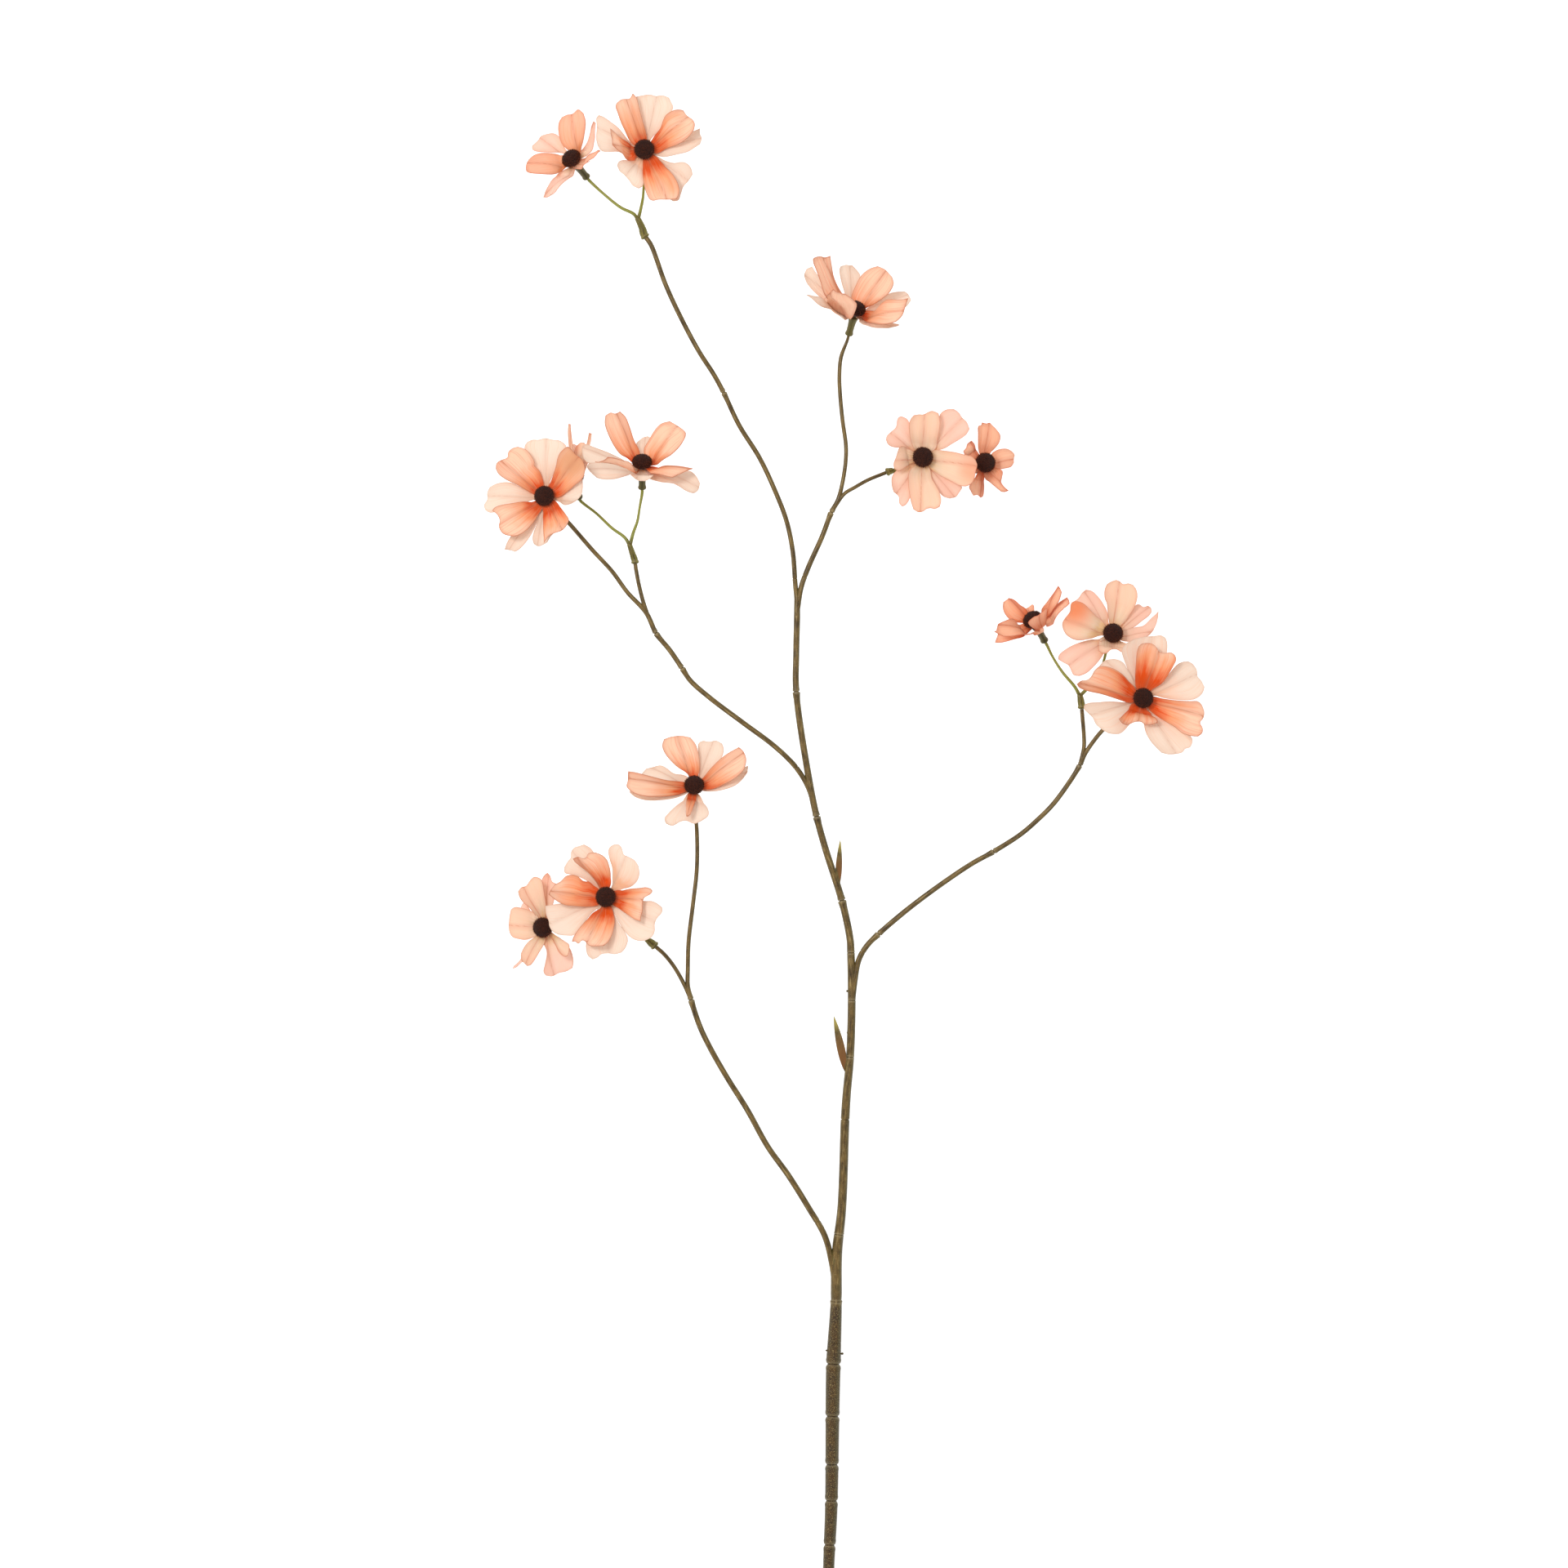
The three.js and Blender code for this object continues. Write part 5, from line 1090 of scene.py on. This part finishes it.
        (-76, 62, 42, -8, 0, 0, 0.45, [(664, 1152), (669, 1166), (667, 1180), (665, 1190), (668, 1195),
         (676, 1196), (684, 1192), (693, 1190), (700, 1186), (704, 1178), (702, 1169), (697, 1161),
         (688, 1153), (677, 1146)]),
        (231, 63, 18, -20.5, 0, 0, 0.3, [(652, 1152), (643, 1166), (634, 1178), (627, 1184), (627, 1187),
         (635, 1182), (645, 1172), (660, 1155)]),
        (145, 34, 30, -14, 0, 0, 0.4, []),
        (15, 42, 36, None, 0, 0, 0.4, []),
    ]),
}
# The two layers: base height, cup in degrees and how far from the axis a petal runs level.
BACK_LAYER = (0.0, 4, 7.7 * MM)
FRONT_LAYER = (1.2 * MM, 18, 6.7 * MM)
ROOT_SINK = 0.135 * MM
PETAL_ROOT = 1.7 * MM
ARCH = 1.3 * MM
CHANNEL = 0.2
LEVEL_SHARE = 0.17
MIDDLE_OF_SOLID = 0.45 * MM
PETAL_COLUMNS, PETAL_ROWS = 22, 26
ROOT_HALF = 0.1
# The cut of a petal whose edge the photograph does not show, as shares of its length and half width.
DIE_CUT = [(0.17, -0.36), (0.46, -0.78), (0.74, -1.0), (0.9, -0.8), (0.96, -0.4), (0.92, 0.05), (1.0, 0.45),
           (0.93, 0.8), (0.74, 1.0), (0.46, 0.78), (0.17, 0.36)]
FLOOR_CLEAR = 0.02 * MM
LAYER_STEP = 0.04 * MM
CREASE_WIDTH = 0.09
PATH_STEPS = 8
ROUNDING = 0.1
RUFFLE_ALONG, RUFFLE_ACROSS = 5.5, 2.4
PATCH_FADE = 1.2
# The cut edge of a petal narrower than this many pixels is browned on a narrower rim.
NARROW_PETAL = 24
# Darker patches on three petals: painted shade where a petal overlaps another on blossoms 04 and 06, and a
# darker patch on blossom 10's left petal. By blossom and petal: the middle and radius in pixels of the
# photograph, and the strength.
SHADE_PATCHES = {
    ("04", -10): (1190, 577, 24, 0.5), ("06", 48): (704, 566, 34, 1.0), ("10", 165): (1314, 742, 36, 1.0),
}


def smooth_path(points, count):
    """Evenly spaced places along a smooth path through points that are pairs of shares."""
    ends = [points[0], *points, points[-1]]
    path = []
    for i in range(len(points) - 1):
        a, b, c, d = (Vector(p) for p in ends[i:i + 4])
        for step in range(PATH_STEPS):
            t = step / PATH_STEPS
            path.append(
                (b * 2 + (c - a) * t + (a * 2 - b * 5 + c * 4 - d) * t ** 2
                 + (b * 3 - a - c * 3 + d) * t ** 3) / 2
            )
    path.append(Vector(points[-1]))
    reach = runs_of(path)
    places, i = [], 0
    for step in range(count + 1):
        wanted = reach[-1] * step / count
        while i < len(path) - 2 and reach[i + 1] < wanted:
            i += 1
        t = (wanted - reach[i]) / max(reach[i + 1] - reach[i], 1e-9)
        places.append(path[i].lerp(path[i + 1], min(t, 1.0)))
    return places


def petal(name, layer, row, chance, order):
    """One petal of a layer as a sheet, with its cut edge and its character kept in attributes."""
    base_height, cup_angle, level_reach = layer
    direction, length, width, rise, roll, twist, tone, outline = row
    disc, height, facing, tip_angle = FLOWERS[name]
    axis, seat = axis_of(name)
    reach_out, half = length * PIXEL, width * PIXEL / 2
    turn = math.radians(direction)
    if rise is None:
        slope = math.tan(math.radians(cup_angle))
        slope -= math.tan(math.radians(tip_angle)) * math.cos(turn - math.radians(facing))
        rise = (reach_out * slope - DISC_MIDDLE + FRONT_LAYER[0]) / MM
    tip = spot(*disc, height) + Vector((reach_out * math.cos(turn), reach_out * math.sin(turn), rise * MM))
    root = seat + axis * (base_height + ROOT_SINK)
    climb = (tip - root).dot(axis)
    outward = (tip - root) - axis * climb
    radial = outward.normalized()
    free_run = max(0.0, outward.length - level_reach)
    full = math.hypot(free_run, climb) + level_reach
    along_slope = (radial * free_run + axis * climb).normalized()
    level_side = radial.cross(axis)

    def place(along, across, lift=0.0):
        """The fabric at shares of the petal's length and half width, raised by a lift."""
        climbed = max(0.0, (along - LEVEL_SHARE) / (1 - LEVEL_SHARE))
        rounded = (1 + ROUNDING) * climbed ** 2 / (climbed + ROUNDING)
        level = PETAL_ROOT + (level_reach - PETAL_ROOT) * min(1.0, along / LEVEL_SHARE)
        turned = math.radians(roll + twist * min(1.0, climbed))
        sideways = Matrix.Rotation(turned, 3, along_slope) @ level_side
        root_normal = sideways.cross(radial)
        normal = root_normal.lerp(sideways.cross(along_slope), min(1.0, climbed * 5)).normalized()
        arch = ARCH * math.sin(math.pi * min(1.0, climbed)) + CHANNEL * half * across ** 2 * climbed
        return (
            root
            + radial * (level + free_run * (0.7 * climbed + 0.3 * rounded))
            + axis * climb * rounded
            + sideways * half * across
            + normal * (arch + lift + MIDDLE_OF_SOLID)
        )

    def shares_at(px, py):
        """The shares at which the petal lies under a pixel of the photograph."""
        target = spot(px, py).xy
        along, across = 0.7, 0.0
        for _ in range(12):
            here = place(along, across).xy
            by_length = (place(along + 0.01, across).xy - here) / 0.01
            by_width = (place(along, across + 0.01).xy - here) / 0.01
            area = by_length.cross(by_width)
            miss = target - here
            along += min(max(miss.cross(by_width) / area, -0.3), 0.3)
            across += min(max(by_length.cross(miss) / area, -0.5), 0.5)
            along = min(max(along, 0.08), 1.35)
            across = min(max(across, -1.5), 1.5)
        return along, across

    shares = [shares_at(*pixel) for pixel in outline] or DIE_CUT
    if shares[0][1] > shares[-1][1]:
        shares = shares[::-1]
    left = max(range(len(shares)), key=lambda i: shares[i][0] * full * 1.1 - shares[i][1] * half)
    right = max(range(len(shares)), key=lambda i: shares[i][0] * full * 1.1 + shares[i][1] * half)
    left, right = min(left, right), max(left, right)
    if left == right:
        left, right = max(0, left - 1), min(len(shares) - 1, right + 1)
    left_side = smooth_path([(0.0, -ROOT_HALF), *shares[:left + 1]], PETAL_ROWS)
    right_side = smooth_path([(0.0, ROOT_HALF), *shares[:right - 1:-1]], PETAL_ROWS)
    tip_side = smooth_path(shares[left:right + 1], PETAL_COLUMNS)
    corners = (left_side[0], right_side[0], left_side[-1], right_side[-1])

    ruffle = chance.uniform(0.3, 0.7) * MM
    curl = chance.uniform(-0.6, 0.4) * MM
    phase = chance.uniform(0, 2 * math.pi)
    creases = [(chance.uniform(0.2, 0.34), 0.16), (chance.uniform(0.46, 0.54), 0.14),
               (chance.uniform(0.66, 0.8), 0.16)]
    bpy.ops.mesh.primitive_grid_add(x_subdivisions=PETAL_COLUMNS, y_subdivisions=PETAL_ROWS, size=2)
    sheet = bpy.context.object
    mesh = sheet.data
    edges, patches, distances = [], [], []
    patch_x, patch_y, patch_size, patch_strength = SHADE_PATCHES.get((name, direction), (0, 0, 1, 0))
    patch_middle = spot(patch_x, patch_y).xy
    for vertex in mesh.vertices:
        u, v = (vertex.co.x + 1) / 2, (vertex.co.y + 1) / 2
        column, row_at = round(u * PETAL_COLUMNS), round(v * PETAL_ROWS)
        bottom = corners[0].lerp(corners[1], u)
        share = left_side[row_at].lerp(right_side[row_at], u) + bottom.lerp(tip_side[column], v)
        share -= bottom.lerp(corners[2].lerp(corners[3], u), v)
        along, across = share
        climbed = max(0.0, (along - LEVEL_SHARE) / (1 - LEVEL_SHARE))
        lift = curl * climbed ** 3
        side = 2 * u - 1
        wave = math.sin(phase + RUFFLE_ALONG * v + RUFFLE_ACROSS * side)
        lift += ruffle * climbed ** 2 * abs(side) ** 1.5 * wave
        pressed = math.sin(math.pi * min(1.0, v * 0.93)) ** 0.7
        lift -= pressed * sum(d * MM * math.exp(-((u - middle) / CREASE_WIDTH) ** 2) for middle, d in creases)
        vertex.co = place(along, across, lift + order * LAYER_STEP)
        from_patch = (vertex.co.xy - patch_middle).length
        share = min(1, max(0, PATCH_FADE - PATCH_FADE * from_patch / (patch_size * PIXEL)))
        patches.append(patch_strength * share * share * (3 - 2 * share))
        offset = vertex.co - seat
        distances.append((offset - axis * offset.dot(axis)).length / MM)
        to_edge = min(half * abs(across) * (1 - abs(side)), full * (1 - v))
        edges.append(to_edge / MM * max(1, NARROW_PETAL / width))
    kept = {"edge_mm": edges, "tone": [tone] * len(edges), "patch": patches, "from_pin": distances,
            "petal_phase": [phase] * len(edges)}
    for label, values in kept.items():
        mesh.attributes.new(label, "FLOAT", "POINT").data.foreach_set("value", values)
    return sheet


def petal_layer(piece_name, name, layer, rows, chance):
    """A die-cut layer: its petals, which meet round the pin, as one sheet of fabric."""
    sheets = [petal(name, layer, row, chance, order) for order, row in enumerate(rows)]
    bpy.ops.object.select_all(action="DESELECT")
    for sheet in sheets:
        sheet.select_set(True)
    bpy.context.view_layer.objects.active = sheets[0]
    bpy.ops.object.join()
    piece = bpy.context.object
    piece.name = piece_name
    thickness = piece.modifiers.new("fabric thickness", "SOLIDIFY")
    thickness.thickness = FABRIC
    thickness.offset = -1.0
    thickness.material_offset = 1
    thickness.material_offset_rim = 1
    for _ in range(2):
        piece.data.materials.append(None)
    bpy.ops.object.modifier_apply(modifier=thickness.name)
    # What would dip in the table is pressed flat on it.
    for vertex in piece.data.vertices:
        if vertex.co.z < FLOOR_CLEAR + FABRIC:
            vertex.co.z = FLOOR_CLEAR + max(0.0, min(FABRIC, (vertex.co.z + 4 * FABRIC) * 0.2))
    bpy.ops.object.shade_smooth_by_angle(angle=math.radians(50))
    bpy.ops.object.select_all(action="DESELECT")
    return piece


def printed_fabric(name, stain, root, middle, tip, edge, patch_shade):
    """Stiff fabric whose printed colour runs from root to tip, with veins, weave and a browned edge."""
    material, tree, shader, _ = new_material(name, roughness=0.8)
    texture_place = tree.nodes.new("ShaderNodeUVMap").outputs["UV"]
    labels = ("edge_mm", "tone", "petal_phase", "patch", "from_pin")
    kept = {label: attribute(tree, label) for label in labels}
    apart = tree.nodes.new("ShaderNodeSeparateXYZ")
    tree.links.new(texture_place, apart.inputs["Vector"])
    shifted = tree.nodes.new("ShaderNodeCombineXYZ")
    tree.links.new(apart.outputs["X"], shifted.inputs["X"])
    tree.links.new(apart.outputs["Y"], shifted.inputs["Y"])
    tree.links.new(kept["petal_phase"], shifted.inputs["Z"])
    where = shifted.outputs["Vector"]
    streaks = noise(tree, stretched(tree, where, (8, 0.9, 3)), scale=1.0, detail=3.0)
    veins = noise(tree, stretched(tree, where, (34, 1.3, 5)), scale=1.0, detail=2.0)
    clouds = noise(tree, stretched(tree, where, (2.2, 3, 4)), scale=1.0, detail=2.0)
    reach = apart.outputs["Y"]
    for pattern, weight in ((streaks, 0.5), (clouds, 0.35)):
        shift = sums(tree, "MULTIPLY", sums(tree, "SUBTRACT", pattern, 0.5), weight)
        reach = sums(tree, "ADD", reach, shift)
    strength = sums(tree, "MULTIPLY", sums(tree, "SUBTRACT", 0.5, kept["tone"]), 0.9)
    printed = ramp(tree, sums(tree, "ADD", reach, strength), (0.2, root), (0.42, middle), (0.74, tip))
    spread = sums(tree, "MULTIPLY", kept["from_pin"], 0.066)
    stained = ramp(tree, sums(tree, "ADD", spread, sums(tree, "MULTIPLY", veins, 0.5)),
                   (0.44, grey(0.8)), (0.56, grey(0.35)), (0.74, grey(0.0)))
    printed = mixed(tree, stained, printed, stain)
    lines = ramp(tree, veins, (0.34, grey(0.3)), (0.46, grey(0.0)))
    printed = mixed(tree, lines, printed, root)
    lights = ramp(tree, veins, (0.58, grey(0.0)), (0.76, grey(0.34)))
    printed = mixed(tree, lights, printed, tip)
    # Darker patches: painted shade where petals overlap, on blossoms 04 and 06.
    printed = mixed(tree, sums(tree, "MULTIPLY", kept["patch"], 0.9), printed, patch_shade)
    cut = ramp(tree, sums(tree, "MULTIPLY", kept["edge_mm"], 0.5), (0.03, grey(0.8)), (0.14, grey(0.3)),
               (0.8, grey(0.0)))
    printed = mixed(tree, cut, printed, edge)
    tree.links.new(printed, shader.inputs["Base Color"])
    shader.inputs["Specular IOR Level"].default_value = 0.08
    threads = 0.0
    for direction, scale in (("X", 22.0), ("Y", 34.0)):
        weave = tree.nodes.new("ShaderNodeTexWave")
        weave.bands_direction = direction
        weave.inputs["Scale"].default_value = scale
        weave.inputs["Distortion"].default_value = 0.6
        tree.links.new(texture_place, weave.inputs["Vector"])
        threads = sums(tree, "ADD", threads, sums(tree, "MULTIPLY", weave.outputs["Fac"], 0.06))
    relief = sums(tree, "ADD", sums(tree, "MULTIPLY", veins, 0.4), sums(tree, "MULTIPLY", streaks, 0.6))
    bump(tree, shader, sums(tree, "ADD", relief, threads), depth=0.4 * MM, strength=0.7)
    tree.links.new(
        ramp(tree, clouds, (0.3, grey(0.7)), (0.7, grey(0.88))),
        shader.inputs["Roughness"],
    )
    glow = tree.nodes.new("ShaderNodeBsdfTranslucent")
    tree.links.new(printed, glow.inputs["Color"])
    blend = tree.nodes.new("ShaderNodeMixShader")
    blend.inputs["Fac"].default_value = 0.25
    tree.links.new(shader.outputs["BSDF"], blend.inputs[1])
    tree.links.new(glow.outputs["BSDF"], blend.inputs[2])
    tree.links.new(blend.outputs["Shader"], tree.nodes["Material Output"].inputs["Surface"])
    return material


# Each print: where it is used, and its stain, root, middle, tip, browned edge and the darker colour of its
# patches, painted shade where petals overlap.
FABRICS, UNDERSIDES = {}, {}
FABRIC_COLOURS = (
    (FABRICS, "orange", "front", "orange print", (190, 56, 14), (240, 92, 32),
     (251, 174, 126), (253, 213, 184), (204, 126, 92), (228, 166, 122)),
    (FABRICS, "orange", "back", "pale peach print", (240, 176, 126), (250, 198, 160),
     (249, 219, 197), (247, 228, 211), (226, 190, 166), (240, 190, 160)),
    (FABRICS, "cream", "front", "cream and salmon print", (178, 116, 56), (247, 210, 158),
     (249, 222, 194), (251, 215, 188), (224, 152, 120), (248, 150, 98)),
    (FABRICS, "peach", "front", "peach print", (160, 84, 40), (248, 158, 100),
     (252, 192, 152), (252, 198, 168), (214, 132, 100), (240, 130, 80)),
    (FABRICS, "cream", "back", "pale salmon print", (190, 132, 72), (249, 206, 164),
     (252, 221, 198), (253, 215, 196), (226, 166, 138), (236, 156, 114)),
    (FABRICS, "salmon", "front", "salmon print", (160, 70, 34), (249, 136, 82),
     (253, 182, 142), (253, 200, 166), (212, 116, 84), (240, 126, 82)),
    (FABRICS, "salmon", "back", "light salmon print", (180, 90, 50), (250, 152, 104),
     (252, 188, 150), (252, 204, 172), (214, 122, 92), (240, 134, 92)),
    (UNDERSIDES, "orange", "front", "orange fabric underside", (238, 150, 98), (246, 178, 134),
     (247, 206, 174), (248, 214, 190), (210, 148, 118), (224, 166, 108)),
    (UNDERSIDES, "orange", "back", "peach fabric underside", (244, 186, 142), (249, 206, 172),
     (250, 222, 202), (250, 226, 210), (226, 180, 154), (240, 190, 160)),
    (UNDERSIDES, "cream", "front", "cream fabric underside", (226, 170, 118), (249, 214, 180),
     (251, 222, 202), (251, 220, 206), (232, 182, 162), (238, 152, 108)),
    (UNDERSIDES, "salmon", "front", "salmon fabric underside", (222, 136, 96), (246, 176, 142),
     (248, 196, 168), (250, 206, 184), (208, 128, 104), (240, 126, 82)),
)
for prints, kind, side, label, *tints in FABRIC_COLOURS:
    prints[kind, side] = printed_fabric(label, *(colour(*tint) for tint in tints))
# The front petals of blossom 01 have a print of their own.
PRINTS = {"01": "peach"}
UNDERSIDES["cream", "back"] = UNDERSIDES["peach", "front"] = UNDERSIDES["cream", "front"]
UNDERSIDES["salmon", "back"] = UNDERSIDES["salmon", "front"]
for name, (kind, front_rows, back_rows) in PETALS.items():
    chance = random.Random(f"petals of blossom {name}")
    dye = PRINTS.get(name, kind)
    layers = (("back", BACK_LAYER, back_rows, kind), ("front", FRONT_LAYER, front_rows, dye))
    for side, layer, rows, dyed in layers:
        fabric = (FABRICS[dyed, side], UNDERSIDES[dyed, side])
        sheet = petal_layer(f"{side}_petals_{name}", name, layer, rows, chance)
        settle(sheet, f"petals_{side}_{name}", f"petal_{kind}_{side}", *fabric)

# Centres: a button of dark brown flock on the pin, a dense brush of short fibres whose rim fibres
# are longer and reddish brown.
CENTRE_BASE = 2.4 * MM
BUTTON_RADIUS = 4.7 * MM
BUTTON_DOME = 5.4 * MM
# How far under its middle the button is cut flat, as a share of its radius.
BUTTON_CUT = 0.35
# The feet of the fibres: how low they go, as a share of the radius, and how far they are drawn in.
LOWEST_FOOT = -0.2
FIBRE_INSET = 0.97
FIBRES_ON_DOME = 640
FIBRES_ON_RIM = 700
GOLDEN_TURN = math.radians(137.508)
bpy.ops.mesh.primitive_cone_add(vertices=3, radius1=1.0, depth=1.0, location=(0, 0, 0.5))
spike = bpy.context.object
bpy.ops.object.transform_apply(location=True, rotation=True, scale=True)
spike_mesh = spike.data
chance = random.Random("flock")
bpy.ops.mesh.primitive_uv_sphere_add(segments=28, ring_count=12, radius=1.0)
button = bpy.context.object


def on_button(way, lowest, inset=1.0):
    """The place on the button in a direction, no lower than a share of its radius, drawn in by a factor."""
    raised = (max(way.z, lowest) + BUTTON_CUT) / (1 + BUTTON_CUT) * BUTTON_DOME * inset
    return Vector((way.x * BUTTON_RADIUS * inset, way.y * BUTTON_RADIUS * inset, CENTRE_BASE + raised))


for vertex in button.data.vertices:
    vertex.co = on_button(vertex.co, -BUTTON_CUT)
fibres = [(button, 0)]
for i in range(FIBRES_ON_DOME + FIBRES_ON_RIM):
    on_rim = i >= FIBRES_ON_DOME
    turn = GOLDEN_TURN * i
    if on_rim:
        tilt = math.radians(chance.uniform(55, 98))
        length, thickness = chance.uniform(0.4, 1.2) * MM, 0.09 * MM
    else:
        tilt = math.acos(1 - 0.92 * (i + 0.5) / FIBRES_ON_DOME)
        length, thickness = chance.uniform(0.4, 0.9) * MM, 0.12 * MM
    way = aimed(tilt, turn)
    foot = on_button(way, LOWEST_FOOT, FIBRE_INSET)
    lean = Vector((chance.uniform(-0.3, 0.3), chance.uniform(-0.3, 0.3), chance.uniform(-0.3, 0.3)))
    way = (way + lean).normalized()
    hair = spike.copy()
    hair.data = spike_mesh.copy()
    bpy.context.collection.objects.link(hair)
    hair.data.transform(
        Matrix.Translation(foot)
        @ way.to_track_quat("Z", "Y").to_matrix().to_4x4()
        @ Matrix.Diagonal((thickness, thickness, length, 1))
    )
    fibres.append((hair, 1 if on_rim else 0))
for hair, fringe in fibres:
    painted(hair, "fringe", lambda place: fringe)
bpy.data.objects.remove(spike)
bpy.ops.object.select_all(action="DESELECT")
for hair, _ in fibres:
    hair.select_set(True)
bpy.context.view_layer.objects.active = button
bpy.ops.object.join()
bpy.ops.object.select_all(action="DESELECT")

flock, tree, shader, place = new_material("dark brown flock", roughness=0.95)
pile = noise(tree, place, scale=1500.0, detail=2.0)
core = ramp(tree, pile, (0.3, colour(30, 12, 8)), (0.7, colour(66, 30, 18)))
rim_tint = ramp(tree, pile, (0.3, colour(66, 26, 12)), (0.7, colour(126, 62, 30)))
tree.links.new(mixed(tree, attribute(tree, "fringe"), core, rim_tint), shader.inputs["Base Color"])
shader.inputs["Sheen Weight"].default_value = 0.08
shader.inputs["Specular IOR Level"].default_value = 0.15
bump(tree, shader, pile, depth=0.15 * MM)
for name in FLOWERS:
    axis, seat = axis_of(name)
    flower_centre = button.copy()
    flower_centre.data = button.data.copy()
    flower_centre.name = f"flocked_centre_{name}"
    bpy.context.collection.objects.link(flower_centre)
    flower_centre.data.transform(
        Matrix.Translation(seat)
        @ axis.to_track_quat("Z", "Y").to_matrix().to_4x4()
        @ Matrix.Rotation(math.radians(37 * int(name)), 4, "Z")
    )
    settle(flower_centre, f"centre_{name}", "centre", flock)
bpy.data.objects.remove(button)

# Table: a plain sheet of white acrylic, lit a little from below so that it stays white,
# and larger than any view takes in.
TABLE_SIDE = 30
TABLE_GLOW = 0.78
bpy.ops.mesh.primitive_plane_add(size=TABLE_SIDE, location=(0, 0, 0))
table = bpy.context.object
table.name = "table"
acrylic, tree, shader, place = new_material("white acrylic", roughness=0.9)
haze = noise(tree, place, scale=900.0, detail=2.0)
tree.links.new(
    ramp(tree, haze, (0.3, grey(0.5)), (0.7, grey(0.52))),
    shader.inputs["Base Color"],
)
shader.inputs["Specular IOR Level"].default_value = 0.1
shader.inputs["Emission Color"].default_value = (1.0, 1.0, 1.0, 1.0)
shader.inputs["Emission Strength"].default_value = TABLE_GLOW
table.data.materials.append(acrylic)

# Light: an even sky and one large soft box from the upper left.
world = bpy.data.worlds.new("soft studio")
bpy.context.scene.world = world
world.use_nodes = True
world.node_tree.nodes["Background"].inputs["Color"].default_value = (1.0, 0.99, 0.98, 1.0)
world.node_tree.nodes["Background"].inputs["Strength"].default_value = 0.88
SOFT_BOX = (-1.0, 0.8, 2.2)
SOFT_BOX_WIDTH = 0.7
SOFT_BOX_WATTS = 26
bpy.ops.object.light_add(type="AREA", location=SOFT_BOX)
soft_box = bpy.context.object
soft_box.data.shape = "DISK"
soft_box.data.size = SOFT_BOX_WIDTH
soft_box.data.energy = SOFT_BOX_WATTS
soft_box.rotation_euler = (-Vector(SOFT_BOX)).to_track_quat("-Z", "Y").to_euler()

# Camera: straight over the spray, as far off as a long lens needs, framed as the photograph is.
PHOTO_SIDE = 1920
FRAME_MIDDLE = spot(PHOTO_SIDE / 2, PHOTO_SIDE / 2, 25)
FRAME_SIDE = PHOTO_SIDE * PIXEL
CAMERA_HEIGHT = 6.0
SENSOR_WIDTH = 36
bpy.ops.object.camera_add(location=(FRAME_MIDDLE.x, FRAME_MIDDLE.y, CAMERA_HEIGHT), rotation=(0, 0, 0))
camera = bpy.context.object
camera.data.sensor_width = SENSOR_WIDTH
camera.data.lens = SENSOR_WIDTH * (CAMERA_HEIGHT - FRAME_MIDDLE.z) / FRAME_SIDE
camera.data.clip_end = 50
bpy.context.scene.camera = camera
bpy.context.scene.view_settings.view_transform = "Standard"
